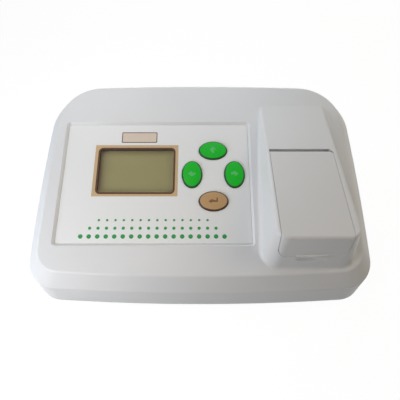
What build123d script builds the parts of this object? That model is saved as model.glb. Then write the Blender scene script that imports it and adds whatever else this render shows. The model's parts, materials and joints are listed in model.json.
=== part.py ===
from build123d import *

import os
from dataclasses import dataclass, replace
from math import cos, radians, sin, sqrt, tan

os.makedirs("parts", exist_ok=True)

# A benchtop photometer for phosphate in water, in millimetres. The origin is on the bench under the
# middle of the case, +X is to the right, +Y to the back and +Z up. The control surface is a plane that
# rises to the back. Where it meets the level top of the sample housing is the merge line, and places on
# the slope are given as X, the distance s up the slope from the merge line, and the height n over it.

# Case
slope = 15.0                    # tilt of the control surface in degrees
wall = 2.5                      # thickness of the moulded walls
foot_height = 3.0               # how far the feet hold the tray off the bench
rim_height = 2.0                # the part of the tray that shows below the shell
rim_inset = 0.8
overrun = 1.0                   # how far a cut or a buried end runs past a face
far = 300.0                     # more than half the case, for cuts right through it
front_wall_height = 24.0        # tray bottom to the ridge line, at the front
front_draft = 4.0               # lean of the front wall in degrees
side_draft = 2.5
rear_draft = 1.5
plateau_front = 144.8           # down the slope from the merge line
plateau_back = 20.0             # up the slope from the merge line
plateau_half_front = 122.3
plateau_half_back = 117.0
side_bow = 2.15                 # how far the sides bulge
plateau_front_radius = 18.0
plateau_back_radius = 35.0
front_bow = 5.0                 # how far the front edge bulges
back_bow = 3.6
band_drop = 9.3                 # ridge line below the plateau, square to it
band_side = 8.3                 # how far the sloping band reaches out at the sides
band_front = 11.0
band_back = 3.0
plateau_edge_radius = 2.4
ridge_radius = 1.2              # rounding of the ridge line
ridge_front_radius = 22.0       # front corners of the case, seen from above

# Sample housing and its lid
housing_left = 51.5             # top edge of the left wall
housing_right_back = 105.5      # top edge of the right wall where it leaves the plateau
housing_right_front = 109.2
housing_front = 127.6           # top edge of the front, in front of the merge line
housing_draft = 10.0
housing_skirt = 5.8             # how far its walls run down under the front of the plateau
housing_tail = 10.3             # how far its level top runs on under the slope
housing_corner_radius = 9.0
housing_top_radius = 2.4
housing_foot_radius = 3.0
lid_left = 54.5
lid_right = 103.5
lid_gap = 0.3                   # between the lid and the housing
lid_wall = 2.3
lid_depth = 21.1                # housing top to the lower edge of the lid
lid_corner_radius = 7.0
hinge_gap_start = 49.3          # rear wall of the sample bay, in front of the merge line
hinge_gap = 2.8                 # between that wall and the lid
hinge_depth = 2.4               # hinge axis below the housing top
hinge_offset = 2.4              # hinge axis in front of the lid's rear edge
hinge_pin_diameter = 2.0
hinge_pin_seat = 2.0            # how far a pin is pressed into the housing
hinge_running_fit = 0.05
bay_floor_depth = 22.7          # housing top to the floor of the sample bay
bay_corner_radius = 2.0         # along the floor of the bay
bay_corner_chamfer = 2.5        # upright corner at the rear right of the bay
finger_lip_width = 23.0
finger_lip_reach = 1.5
finger_lip_height = 2.4
finger_scoop_width = 23.0
finger_scoop_depth = 1.5
finger_scoop_height = 7.0
finger_scoop_round = 4.2

# Front panel, in its recess on the slope
panel_left = 110.3              # left of the middle
panel_width = 150.0
panel_top = 18.0                # down the slope from the merge line
panel_height = 102.0
panel_thickness = 0.5
panel_clearance = 0.3
panel_corner_radius = 1.5
recess_depth = 1.8              # plateau down to the face of the panel
recess_run = 1.8                # width of the sloping wall of the recess
window_left = 82.7
window_width = 61.4
window_top = 40.4
window_height = 38.6
window_radius = 2.8
lens_margin = 1.2               # lens beyond the printed window
lens_thickness = 2.0
lens_clearance = 0.2

# Keys
key_long = 23.4
key_short = 16.5
key_middle_x = 10.7
key_middle_s = -63.3
key_spread_x = 17.15            # middle of the cluster to the left and right keys
key_spread_up = 21.2            # middle of the cluster to the upper key
key_spread_down = 22.8          # middle of the cluster to the lower key
key_clearance = 0.25
key_seat_gap = 0.1              # rim of the key to the underside of the shell
key_rise = 2.0                  # key over the panel
key_round = 0.9
key_flange = 1.1                # rim that holds the key under the shell
key_flange_thickness = 1.0
key_travel = 0.8
stem_diameter = 4.0
stem_length = 2.0

# Tact switches and the keypad board
switch_size = 6.0
switch_height = 3.5
switch_floor = 0.8              # under the bore of the plunger
plunger_diameter = 3.4
plunger_rise = 1.5
plunger_clearance = 0.05
plunger_end_gap = 0.2           # under the plunger when its key is pressed
board_thickness = 1.6
keypad_board_left = 17.3
keypad_board_width = 56.4
keypad_board_top = 29.5
keypad_board_height = 70.0
post_diameter = 6.0
post_inset = 4.0                # board edge to the middle of a post

# Display module
lcd_margin = 2.0                # metal frame beyond the window
lcd_frame_height = 7.0
lcd_frame_wall = 0.6
lcd_glass_thickness = 2.8
lcd_clearance = 0.2
lcd_seat_gap = 0.1              # metal frame to the underside of the shell
display_board_height = 72.0

# Screws
screw_diameter = 2.6
screw_head_diameter = 5.2
screw_head_height = 1.8
screw_clearance = 0.05          # screw in its own thread
screw_through = 3.0             # plain hole that a screw passes through
screw_tip_gap = 0.5             # hole beyond the tip of a screw
screw_point = 0.8
screw_head_round = 0.9
screw_head_clearance = 0.4
small_screw_length = 6.0
case_screw_length = 14.0
screw_slot_width = 0.8
screw_slot_depth = 0.9
screw_slot_length = 3.2

# Tray, feet and case posts
tray_lip_height = 4.0
tray_lip_gap = 0.6
tray_boss_height = 4.0          # over the tray floor
tray_skin = 1.0                 # left under a blind screw hole
case_screw_sink = 0.4           # head of a case screw inside the underside
case_post_diameter = 9.0
case_post_front = (115.0, -64.0)
case_post_back = (106.0, 62.0)
foot_diameter = 14.0
foot_recess = 1.0
foot_fit = 0.1
foot_round = 1.0
foot_front = (98.0, -68.0)
foot_back = (88.0, 64.0)

# Sample cell holder
well_diameter = 25.2            # takes a round cell of 25 mm
well_depth = 45.0
collar_diameter = 34.0
collar_rise = 1.5               # collar over the floor of the sample bay
collar_clearance = 0.5
seal_diameter = 43.0            # foam ring round the collar
seal_thickness = 1.2
seal_clearance = 0.3
holder_size = 40.0
holder_behind_front = 39.6      # middle of the well behind the housing's front edge
holder_flange = 8.0             # how far the fixing flange stands out
holder_flange_thickness = 3.0
holder_boss_height = 5.0
holder_floor_gap = 0.5
holder_screw_spread_x = 14.0
holder_top_gap = 0.6
optical_height = 20.0           # light path over the bottom of the well
light_bore = 4.0

# Lamp and detector
optics_block = 16.0
optics_block_length = 12.0
optics_board_width = 24.0
optics_board_height = 18.0
optics_screw_spread = 9.0
optics_screw_edge = 2.2         # screws over the lower face of the block
optics_screw_depth = 6.0        # screw holes in the cell holder
lens_diameter = 8.0
lens_edge = 1.2
lens_bulge = 1.3
lens_pocket = 1.6               # hollow in the lamp holder in front of the lens
filter_diameter = 12.0
filter_thickness = 3.0
led_diameter = 5.0
led_length = 8.6
led_rim_diameter = 5.8
led_rim_thickness = 1.0
photodiode_diameter = 8.2
photodiode_length = 4.5
photodiode_rim_diameter = 9.2
photodiode_rim_thickness = 0.8
optics_fit = 0.05

# Main board
main_board_x = -44.0
main_board_y = 6.0
main_board_width = 124.0
main_board_depth = 86.0
main_board_standoff = 6.0
chip_size = 14.0
chip_height = 1.4
chip_dot_inset = 2.0
chip_dot_diameter = 1.5
chip_dot_depth = 0.2
chip_x = -50.0
chip_y = 14.0
crystal_length = 11.0
crystal_width = 4.6
crystal_height = 3.5
crystal_round = 2.25
regulator_width = 10.0
regulator_height = 15.0
regulator_thickness = 4.4
regulator_tab_thickness = 1.2
regulator_body_height = 9.0
regulator_standoff = 2.0        # body over the board
regulator_pin = 0.8
regulator_pin_pitch = 2.54
regulator_x = -84.0
regulator_y = 34.0
heatsink_width = 22.0
heatsink_height = 24.0
heatsink_depth = 12.0
heatsink_base = 2.0
heatsink_fin = 1.5
heatsink_fins = 5
capacitor_diameter = 10.0
capacitor_height = 16.0
capacitor_round = 0.8
capacitor_count = 3
capacitor_x = -56.0
capacitor_y = 36.0
capacitor_pitch = 14.0
buzzer_diameter = 12.0
buzzer_height = 9.0
buzzer_hole = 2.0
buzzer_hole_depth = 2.0
buzzer_x = -92.0
buzzer_y = -22.0
header_height = 8.0
header_depth = 6.0
header_side = 2.0               # header beyond its ribbon
header_row_y = -17.0            # headers of the two ribbons
display_header_x = -52.0
keypad_header_x = 4.0
optics_header_x = 10.0
lamp_header_y = 18.0
detector_header_y = 32.0
optics_header_width = 8.0
power_header_x = -8.0
power_header_y = 40.0
power_header_width = 14.0

# Rear connectors
rear_bay_left = 82.0
rear_bay_width = 64.0
rear_bay_low = 20.0
rear_bay_height = 30.0
rear_bay_depth = 2.6            # how far the level face lies inside the wall at mid height
switch_x = -65.0
switch_cut_width = 19.2
switch_cut_height = 12.9
switch_flange_width = 21.0
switch_flange_height = 15.0
switch_flange_thickness = 2.0
switch_body_depth = 13.0
switch_flange_round = 1.5
switch_fit = 0.2
rocker_radius = 7.5             # half the length of the rocker, and the arcs of its ends
rocker_height = 10.4
rocker_gap = 0.3
rocker_axis_depth = 2.0         # under the face of the flange
rocker_crown = 2.6              # middle of the rocker over its axis
rocker_keel = 2.5               # underside of the rocker below its axis
rocker_tilt = 8.0               # each way from level
trunnion_diameter = 2.4
trunnion_length = 1.0
trunnion_end_gap = 0.2
jack_x = -33.0
jack_barrel = 8.0
jack_flange = 11.0
jack_flange_thickness = 2.0
jack_length = 14.0
jack_bore = 5.7
jack_bore_depth = 10.0
jack_pin = 2.1
jack_fit = 0.1
jack_nut_size = 12.0
jack_nut_thickness = 2.5
jack_pin_inset = 1.0            # pin under the face of the flange

# Cables
lead_diameter = 2.4
ribbon_thickness = 1.0
ribbon_width = 16.0
ribbon_straight = 6.5           # run square to the board and to the header
ribbon_s = -88.0                # where both ribbons leave their boards
lead_offset = 8.0               # leads beside the middle of their board
lead_rise = 2.0                 # leads over the middle of their board
lead_straight = 9.0             # run square to what a lead leaves
lead_drop = 12.0                # run straight down into a header
bend_share = 0.45               # bend radius as a share of the shorter run

# Places worked out from the values above

up, along = sin(radians(slope)), cos(radians(slope))
housing_depth = housing_front * tan(radians(slope)) + housing_skirt
shell_bottom = foot_height + rim_height
tray_floor = foot_height + wall


def slope_height(s, n):
    """Height over the merge line of the place s up the slope and n over it."""
    return s * up + n * along


def slope_reach(s, n):
    """Distance behind the merge line of the place s up the slope and n over it."""
    return s * along - n * up


ridge_front_s = -(plateau_front + band_front)
ridge_back_s = plateau_back + band_back
housing_top = foot_height + front_wall_height - slope_height(ridge_front_s, -band_drop)
ridge_back_height = housing_top + slope_height(ridge_back_s, -band_drop)
front_lean = front_wall_height * tan(radians(front_draft))
back_lean = (ridge_back_height - foot_height) * tan(radians(rear_draft))
front_reach = slope_reach(ridge_front_s, -band_drop) - front_lean
back_reach = slope_reach(ridge_back_s, -band_drop) + back_lean
merge_y = -(front_reach + back_reach) / 2

slope_plane = Plane(origin=(0, merge_y, housing_top), x_dir=(1, 0, 0), z_dir=(0, -up, along))
panel_middle_x = panel_width / 2 - panel_left
panel_middle_s = -(panel_top + panel_height / 2)
panel_floor = -(recess_depth + panel_thickness)
pad_bottom = panel_floor - wall
window_x = window_width / 2 - window_left
window_s = -(window_top + window_height / 2)
bay_floor = housing_top - bay_floor_depth
hinge_y = merge_y - hinge_gap_start - hinge_gap - hinge_offset
hinge_z = housing_top - hinge_depth
holder_x = (lid_left + lid_right) / 2
holder_y = merge_y - housing_front + holder_behind_front
holder_bottom = tray_floor + holder_floor_gap
collar_top = bay_floor + collar_rise
well_bottom = collar_top - well_depth
optical_z = well_bottom + optical_height
board_z = tray_floor + main_board_standoff
board_top = board_z + board_thickness
rear_face_y = merge_y + back_reach - rear_bay_depth
case_screw_seat = foot_height + screw_head_height + case_screw_sink
screw_hole = screw_diameter + 2 * screw_clearance
rear_bay_x0, rear_bay_x1 = -rear_bay_left, -rear_bay_left + rear_bay_width
rear_bay_middle = rear_bay_low + rear_bay_height / 2
switch_face_y = rear_face_y + switch_flange_thickness
rocker_y = switch_face_y - rocker_axis_depth
jack_face_y = rear_face_y + jack_flange_thickness
hinge_bore = hinge_pin_diameter + 2 * hinge_running_fit
lid_middle = holder_x
bay_back = merge_y - hinge_gap_start

KEYS = {
    "up": (key_middle_x, key_middle_s + key_spread_up, False),
    "left": (key_middle_x - key_spread_x, key_middle_s, True),
    "right": (key_middle_x + key_spread_x, key_middle_s, True),
    "enter": (key_middle_x, key_middle_s - key_spread_down, False),
}


def on_slope(x, s, n=0.0):
    """Location on the control surface, with its local Z square to it."""
    return Location(slope_plane) * Pos(x, s, n)


def block(x0, x1, y0, y1, z0, z1):
    """Box between two corners."""
    middle = Pos((x0 + x1) / 2, (y0 + y1) / 2, (z0 + z1) / 2)
    return middle * Box(abs(x1 - x0), abs(y1 - y0), abs(z1 - z0))


def below(height):
    """Everything under a height."""
    return block(-far, far, -far, far, -far, height)


def tower(x, y, width, depth, z0, z1):
    """Box about an upright line."""
    return block(x - width / 2, x + width / 2, y - depth / 2, y + depth / 2, z0, z1)


def pillar(x, y, z0, z1, diameter):
    """Upright cylinder from one height to another."""
    return Pos(x, y, (z0 + z1) / 2) * Cylinder(diameter / 2, abs(z1 - z0))


def slope_pillar(x, s, n0, n1, diameter):
    """Cylinder square to the control surface."""
    return on_slope(x, s, (n0 + n1) / 2) * Cylinder(diameter / 2, abs(n1 - n0))


def slope_block(x, s, width, height, n0, n1):
    """Box square to the control surface, about the place x, s."""
    return on_slope(x, s, (n0 + n1) / 2) * Box(width, height, abs(n1 - n0))


def bar_x(x0, x1, y, z, diameter):
    """Cylinder along X."""
    return Pos((x0 + x1) / 2, y, z) * Rot(0, 90, 0) * Cylinder(diameter / 2, abs(x1 - x0))


def bar_y(x, y0, y1, z, diameter):
    """Cylinder along Y."""
    return Pos(x, (y0 + y1) / 2, z) * Rot(90, 0, 0) * Cylinder(diameter / 2, abs(y1 - y0))


def rounded(width, height, radius, n0, n1):
    """Rounded rectangle as a plate from n0 to n1."""
    return Pos(0, 0, n0) * extrude(RectangleRounded(width, height, radius), n1 - n0)


# Outlines of the case


@dataclass
class Outline:
    """Rectangle with bowed sides and round corners, in its own plane."""

    front: float
    back: float
    half_front: float
    half_back: float
    front_radius: float
    back_radius: float

    def grown(self, side, front=None, back=None):
        """The same outline further out at its sides, front and back."""
        front = side if front is None else front
        back = side if back is None else back
        return Outline(
            self.front - front,
            self.back + back,
            self.half_front + side,
            self.half_back + side,
            self.front_radius + (side + front) / 2,
            self.back_radius + (side + back) / 2,
        )

    def face(self):
        """The outline as a face."""
        low, high = self.front + front_bow, self.back - back_bow
        middle = (low + high) / 2
        half_middle = (self.half_front + self.half_back) / 2 + side_bow
        sides = [
            ThreePointArc((-self.half_front, low), (0, self.front), (self.half_front, low)),
            ThreePointArc((self.half_front, low), (half_middle, middle), (self.half_back, high)),
            ThreePointArc((self.half_back, high), (0, self.back), (-self.half_back, high)),
            ThreePointArc((-self.half_back, high), (-half_middle, middle), (-self.half_front, low)),
        ]
        sheet = make_face(Curve() + sides)
        sheet = fillet(sheet.vertices().sort_by(Axis.Y)[:2], self.front_radius)
        return fillet(sheet.vertices().sort_by(Axis.Y)[-2:], self.back_radius)


plateau = Outline(
    -plateau_front,
    plateau_back,
    plateau_half_front,
    plateau_half_back,
    plateau_front_radius,
    plateau_back_radius,
)
ridge = replace(plateau.grown(band_side, band_front, band_back), front_radius=ridge_front_radius)


def wall_foot(height):
    """Outline of the case's walls at a height, level with the bench."""
    front_drop = foot_height + front_wall_height - height
    back_drop = ridge_back_height - height
    lean = tan(radians(side_draft))
    return Outline(
        merge_y + slope_reach(ridge.front, -band_drop) - front_drop * tan(radians(front_draft)),
        merge_y + slope_reach(ridge.back, -band_drop) + back_drop * tan(radians(rear_draft)),
        ridge.half_front + front_drop * lean,
        ridge.half_back + back_drop * lean,
        ridge.front_radius,
        ridge.back_radius,
    )


def case_volume(inset, bottom):
    """Case without the sample housing, from a height up, with its faces moved in by inset."""
    foot = Plane.XY.offset(bottom) * wall_foot(bottom).grown(-inset).face()
    ridge_face = slope_plane.offset(-band_drop - inset) * ridge.grown(-inset).face()
    top_face = slope_plane.offset(-inset) * plateau.grown(-inset).face()
    return loft([foot, ridge_face], ruled=True) + loft([ridge_face, top_face], ruled=True)


def housing_volume(inset, radius):
    """Raised sample housing, with its faces moved in by inset and its top edges rounded."""
    lean = housing_depth * tan(radians(housing_draft))
    top = housing_top - inset
    faces = []
    for level, reach in ((top, -inset), (top - housing_depth, lean - inset)):
        front = merge_y - housing_front - reach
        back = merge_y + housing_tail
        right_front = housing_right_front + reach
        right_back = housing_right_back + reach
        left = housing_left - reach
        corners = [(left, front), (right_front, front), (right_back, back), (left, back)]
        sheet = make_face(Polyline(*corners, close=True))
        sheet = fillet(sheet.vertices().sort_by(Axis.Y)[:2], housing_corner_radius + reach / 2)
        faces.append(Plane.XY.offset(level) * sheet)
    volume = loft(faces, ruled=True)
    if radius:
        volume = fillet(volume.faces().sort_by(Axis.Z)[-1].edges(), radius)
    return volume


def bay_prism(gap, depth, radius, y0, y1):
    """Room of the lid between two places along Y: square above, round at its lower corners."""
    width = lid_right - lid_left + 2 * gap
    height = depth + 2 * wall
    sheet = Rectangle(width, height)
    sheet = fillet(sheet.vertices().sort_by(Axis.Y)[:2], radius)
    prism = extrude(Plane.XZ * sheet, abs(y1 - y0))
    return Pos(lid_middle, max(y0, y1), housing_top - depth + height / 2) * prism


def chamfered_corner(gap):
    """Piece to cut from the lid at its rear right corner."""
    back = hinge_y + hinge_offset + gap
    right = lid_right + gap
    tip = bay_corner_chamfer
    sheet = make_face(Polyline((right, back), (right - tip, back), (right, back - tip), close=True))
    return Pos(0, 0, bay_floor) * extrude(sheet, bay_floor_depth + wall)


def housing_front_y(height):
    """Front face of the sample housing at a height."""
    return merge_y - housing_front - (housing_top - height) * tan(radians(housing_draft))


def finger_lip():
    """Crescent at the lower edge of the lid that a finger lifts."""
    low = housing_top - lid_depth
    face_y = housing_front_y(low + finger_lip_height / 2)
    left, right = lid_middle - finger_lip_width / 2, lid_middle + finger_lip_width / 2
    tip = (lid_middle, face_y - finger_lip_reach)
    root = face_y + overrun
    arc = ThreePointArc((left, face_y), tip, (right, face_y))
    back = Polyline((right, face_y), (right, root), (left, root), (left, face_y))
    return Pos(0, 0, low) * extrude(make_face(Curve() + [arc, back]), finger_lip_height)


def finger_scoop():
    """Hollow in the housing's front wall under the finger lip."""
    half = finger_scoop_width / 2
    radius = (half * half + finger_scoop_depth * finger_scoop_depth) / (2 * finger_scoop_depth)
    low = housing_top - lid_depth - finger_scoop_height
    height = finger_scoop_height + wall
    centre_y = housing_front_y(low + finger_scoop_height / 2) - radius + finger_scoop_depth
    scoop = Pos(lid_middle, centre_y, low + height / 2) * Cylinder(radius, height)
    return fillet(scoop.edges().sort_by(Axis.Z)[:1], finger_scoop_round)


# Shell and tray


def panel_recess():
    """Shallow recess with sloping walls that takes the front panel."""
    width = panel_width + 2 * panel_clearance
    height = panel_height + 2 * panel_clearance
    straight = rounded(width, height, panel_corner_radius, panel_floor, -recess_depth)
    low = RectangleRounded(width, height, panel_corner_radius)
    high_radius = panel_corner_radius + recess_run
    high = RectangleRounded(width + 2 * recess_run, height + 2 * recess_run, high_radius)
    flare = loft([Plane.XY.offset(-recess_depth) * low, high], ruled=True)
    return on_slope(panel_middle_x, panel_middle_s) * (straight + flare)


def lens_opening():
    """Cut in the shell that takes the display window."""
    width = window_width + 2 * (lens_margin + lens_clearance)
    height = window_height + 2 * (lens_margin + lens_clearance)
    low, high = pad_bottom - overrun, panel_floor + overrun
    cut = rounded(width, height, window_radius + lens_margin + lens_clearance, low, high)
    return on_slope(window_x, window_s) * cut


def key_ellipse(name, gap):
    """Outline of a key, wider or narrower by gap, about its own middle."""
    upright = KEYS[name][2]
    long, short = key_long / 2 + gap, key_short / 2 + gap
    return Ellipse(short, long) if upright else Ellipse(long, short)


def key_prism(name, gap, n0, n1):
    """Key outline as a solid from n0 to n1 over the slope."""
    x, s, _ = KEYS[name]
    return on_slope(x, s, n0) * extrude(key_ellipse(name, gap), n1 - n0)


def keypad_posts():
    """Middle of each post that carries the keypad board."""
    left = post_inset - keypad_board_left
    right = keypad_board_width - keypad_board_left - post_inset
    low = -(keypad_board_top + keypad_board_height - post_inset)
    high = -(keypad_board_top + post_inset)
    return [(x, s) for x in (left, right) for s in (low, high)]


def display_posts():
    """Middle of each post that carries the display board."""
    half_x = window_width / 2 + lcd_margin - post_inset
    half_s = display_board_height / 2 - post_inset
    return [(window_x + i * half_x, window_s + j * half_s) for i in (-1, 1) for j in (-1, 1)]


key_bottom = pad_bottom - key_seat_gap - key_flange_thickness
plunger_top = key_bottom - stem_length
keypad_face = plunger_top - plunger_rise - switch_height
lcd_top = pad_bottom - lcd_seat_gap
display_face = lcd_top - lcd_frame_height
lcd_glass_top = lcd_top - lcd_frame_wall - lcd_clearance / 2


def board_posts():
    """The posts of the keypad board and of the display board, each with the board's face."""
    return (keypad_posts(), keypad_face), (display_posts(), display_face)


def height_over_slope(point):
    """Distance of a point from the control surface."""
    return slope_plane.to_local_coords(point).Z


def edges_at(solid, n):
    """Edges that lie all along at one height over the control surface."""
    near = 0.02

    def level(edge):
        return all(abs(height_over_slope(edge @ place) - n) < near for place in (near, 0.5, 1 - near))

    return [edge for edge in solid.edges() if level(edge)]


def housing_foot_edges(outer):
    """Edges where the walls of the sample housing stand on the plateau."""
    lean = housing_depth * tan(radians(housing_draft))
    front_half = []
    for edge in edges_at(outer, 0):
        middle = edge @ 0.5
        reach = middle.Y - merge_y
        beside_housing = housing_left - lean < middle.X < housing_right_front + lean
        if beside_housing and front_reach + plateau_edge_radius < reach < -overrun:
            front_half.append(edge)
    return front_half


def top_shell():
    """Upper case: walls, band, plateau, sample housing, and the posts moulded inside it."""
    body = case_volume(0, shell_bottom)
    square_to_slope = Axis(slope_plane.origin, slope_plane.z_dir)
    body = fillet(body.faces().sort_by(square_to_slope)[-1].edges(), plateau_edge_radius)
    body = fillet(edges_at(body, -band_drop), ridge_radius)
    outer = body + housing_volume(0, housing_top_radius)
    outer = fillet(housing_foot_edges(outer), housing_foot_radius)
    outer -= below(shell_bottom)
    shell = outer - case_volume(wall, shell_bottom) - (housing_volume(wall, 0) - below(shell_bottom))
    backing = panel_backing() + bay_backing() + finger_scoop_backing() + rear_bay_backing()
    shell += (backing + shell_posts()) & outer
    shell -= panel_recess()
    shell -= lens_opening()
    for name in KEYS:
        shell -= key_prism(name, key_clearance, pad_bottom - overrun, panel_floor + overrun)
    shell -= bay_room()
    shell -= finger_scoop()
    collar_hole = collar_diameter + 2 * collar_clearance
    shell -= pillar(holder_x, holder_y, bay_floor - wall - overrun, bay_floor + overrun, collar_hole)
    for pin in hinge_pins():
        shell -= pin
    shell -= shell_screw_holes()
    shell -= rear_bay_cuts()
    return shell


def panel_backing():
    """Thicker plate under the front panel."""
    width = panel_width + 2 * (recess_run + wall)
    height = panel_height + 2 * (recess_run + wall)
    return slope_block(panel_middle_x, panel_middle_s, width, height, pad_bottom, 0)


def bay_backing():
    """Walls and floor of the sample bay."""
    front = merge_y - housing_front - housing_depth
    radius = bay_corner_radius + wall
    return bay_prism(lid_gap + wall, bay_floor_depth + wall, radius, bay_back + wall, front)


def bay_room():
    """Room of the sample bay, and the wider mouth that the lid's front skirt closes."""
    front_wall = housing_front_y(bay_floor) + wall
    front = merge_y - housing_front - housing_depth
    inside = bay_prism(lid_gap, bay_floor_depth, bay_corner_radius, bay_back, front_wall)
    mouth_radius = lid_corner_radius + lid_gap
    mouth = bay_prism(lid_gap, lid_depth + lid_gap, mouth_radius, front_wall + overrun, front)
    return inside - bay_corner() + mouth


def shell_posts():
    """Posts for the case screws and for the two boards under the control surface."""
    posts = [
        pillar(x, y, tray_floor + tray_boss_height, housing_top, case_post_diameter)
        for x, y in case_posts()
    ]
    for places, face in board_posts():
        posts += [slope_pillar(x, s, face, pad_bottom + overrun, post_diameter) for x, s in places]
    return Part() + posts


def shell_screw_holes():
    """Blind holes of the screws that end in the shell."""
    tip = case_screw_seat + case_screw_length + screw_tip_gap
    holes = [pillar(x, y, foot_height, tip, screw_hole) for x, y in case_posts()]
    for places, face in board_posts():
        tip = face - board_thickness + small_screw_length + screw_tip_gap
        holes += [slope_pillar(x, s, face - overrun, tip, screw_hole) for x, s in places]
    return Part() + holes


def bay_corner():
    """Chamfered corner that stays at the rear right of the sample bay."""
    back, right = bay_back + overrun, lid_right + lid_gap + overrun
    tip = bay_corner_chamfer + 2 * overrun
    sheet = make_face(Polyline((right, back), (right - tip, back), (right, back - tip), close=True))
    return Pos(0, 0, bay_floor - overrun) * extrude(sheet, bay_floor_depth + wall + 2 * overrun)


def finger_scoop_backing():
    """Thicker wall behind the finger scoop."""
    half = finger_scoop_width / 2 + wall
    low = housing_top - lid_depth - finger_scoop_height - wall
    back = housing_front_y(low) + 2 * wall + finger_scoop_depth
    return block(lid_middle - half, lid_middle + half, back, back - 5 * wall, low, housing_top - lid_depth)


def case_posts():
    """Middle of each post that a case screw holds."""
    return [(side * x, y) for x, y in (case_post_front, case_post_back) for side in (-1, 1)]


def feet_places():
    """Middle of each foot."""
    return [(side * x, y) for x, y in (foot_front, foot_back) for side in (-1, 1)]


def rear_bay_backing():
    """Thicker wall behind the bay of the rear connectors."""
    z0, z1 = rear_bay_low - wall, rear_bay_low + rear_bay_height + wall
    return block(rear_bay_x0 - wall, rear_bay_x1 + wall, rear_face_y - wall, rear_face_y + far, z0, z1)


def rear_bay_cuts():
    """Level bay in the rear wall, with the holes of the power switch and the power jack."""
    z0, z1 = rear_bay_low, rear_bay_low + rear_bay_height
    cuts = block(rear_bay_x0, rear_bay_x1, rear_face_y, rear_face_y + far, z0, z1)
    inside, outside = rear_face_y - wall - overrun, rear_face_y + overrun
    half_x, half_z = switch_cut_width / 2, switch_cut_height / 2
    low, high = rear_bay_middle - half_z, rear_bay_middle + half_z
    cuts += block(switch_x - half_x, switch_x + half_x, inside, outside, low, high)
    return cuts + bar_y(jack_x, inside, outside, rear_bay_middle, jack_barrel + 2 * jack_fit)


def base_tray():
    """Lower case: floor, the rim that shows, the lip inside the shell, bosses and foot recesses."""
    foot_plane = Plane.XY.offset(foot_height)
    rim = extrude(foot_plane * wall_foot(foot_height).grown(-rim_inset).face(), rim_height)
    inner = wall_foot(shell_bottom).grown(-wall - tray_lip_gap)
    lip = extrude(Plane.XY.offset(shell_bottom) * inner.face(), tray_lip_height)
    lip -= extrude(Plane.XY.offset(tray_floor) * inner.grown(-wall).face(), tray_lip_height + wall)
    tray = rim + lip
    low, boss_top = tray_floor - overrun, tray_floor + tray_boss_height
    holder_boss_top = tray_floor + holder_boss_height
    tray += [pillar(x, y, low, boss_top, case_post_diameter) for x, y in case_posts()]
    tray += [pillar(x, y, low, board_z, post_diameter) for x, y in main_board_posts()]
    tray += [pillar(x, y, low, holder_boss_top, post_diameter) for x, y in holder_screws()]
    head_hole = screw_head_diameter + 2 * screw_head_clearance
    for x, y in case_posts():
        tray -= pillar(x, y, 0, boss_top + overrun, screw_through)
        tray -= pillar(x, y, 0, case_screw_seat, head_hole)
    for x, y in feet_places():
        tray -= pillar(x, y, 0, foot_height + foot_recess, foot_diameter + 2 * foot_fit)
    hole_low = foot_height + tray_skin
    tray -= [pillar(x, y, hole_low, board_z + overrun, screw_hole) for x, y in main_board_posts()]
    tray -= [pillar(x, y, hole_low, holder_boss_top + overrun, screw_hole) for x, y in holder_screws()]
    return tray


def rubber_feet():
    """Four round feet in the recesses of the tray."""
    foot = pillar(0, 0, 0, foot_height + foot_recess, foot_diameter)
    foot = fillet(foot.edges().sort_by(Axis.Z)[:1], foot_round)
    return [Pos(x, y, 0) * foot for x, y in feet_places()]


def screw(length):
    """Pan head screw, pointing up, with the underside of its head at the origin."""
    body = pillar(0, 0, 0, length, screw_diameter)
    body = chamfer(body.edges().sort_by(Axis.Z)[-1:], screw_point)
    head = pillar(0, 0, -screw_head_height, 0, screw_head_diameter)
    head = fillet(head.edges().sort_by(Axis.Z)[:1], screw_head_round)
    slot = Box(screw_slot_length, screw_slot_width, 2 * screw_slot_depth)
    cross = slot + Rot(0, 0, 90) * slot
    return body + head - Pos(0, 0, -screw_head_height) * cross


def case_screws():
    """Long screws through the tray into the posts of the shell."""
    return [Pos(x, y, case_screw_seat) * screw(case_screw_length) for x, y in case_posts()]


# Front panel, display and keys


def panel_overlay():
    """Printed front panel with its openings for the display and the keys."""
    top = panel_floor + panel_thickness
    sheet = rounded(panel_width, panel_height, panel_corner_radius, panel_floor, top)
    sheet = on_slope(panel_middle_x, panel_middle_s) * sheet
    low, high = panel_floor - overrun, top + overrun
    sheet -= on_slope(window_x, window_s) * rounded(window_width, window_height, window_radius, low, high)
    for name in KEYS:
        sheet -= key_prism(name, key_clearance, low, high)
    return sheet


def display_window():
    """Clear lens behind the opening of the front panel."""
    width, height = window_width + 2 * lens_margin, window_height + 2 * lens_margin
    radius = window_radius + lens_margin
    lens = rounded(width, height, radius, panel_floor - lens_thickness, panel_floor)
    return on_slope(window_x, window_s) * lens


def key_cap(name):
    """Domed key with the rim that holds it under the shell and the stem on its switch."""
    x, s, _ = KEYS[name]
    top = panel_floor + panel_thickness + key_rise
    cap = extrude(key_ellipse(name, 0), top - key_bottom)
    cap = fillet(cap.faces().sort_by(Axis.Z)[-1].edges(), key_round)
    cap += extrude(key_ellipse(name, key_flange), key_flange_thickness)
    cap += Pos(0, 0, -stem_length / 2) * Cylinder(stem_diameter / 2, stem_length)
    return on_slope(x, s, key_bottom) * cap


def plunger(name):
    """Plunger of the tact switch under a key."""
    x, s, _ = KEYS[name]
    low = keypad_face + switch_floor + plunger_end_gap + key_travel
    return slope_pillar(x, s, low, plunger_top, plunger_diameter)


def switch_bodies():
    """Bodies of the four tact switches, each with the bore of its plunger."""
    bodies = []
    top = keypad_face + switch_height
    bore = plunger_diameter + 2 * plunger_clearance
    for x, s, _ in KEYS.values():
        body = slope_block(x, s, switch_size, switch_size, keypad_face, top)
        bodies.append(body - slope_pillar(x, s, keypad_face + switch_floor, top + overrun, bore))
    return bodies


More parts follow.
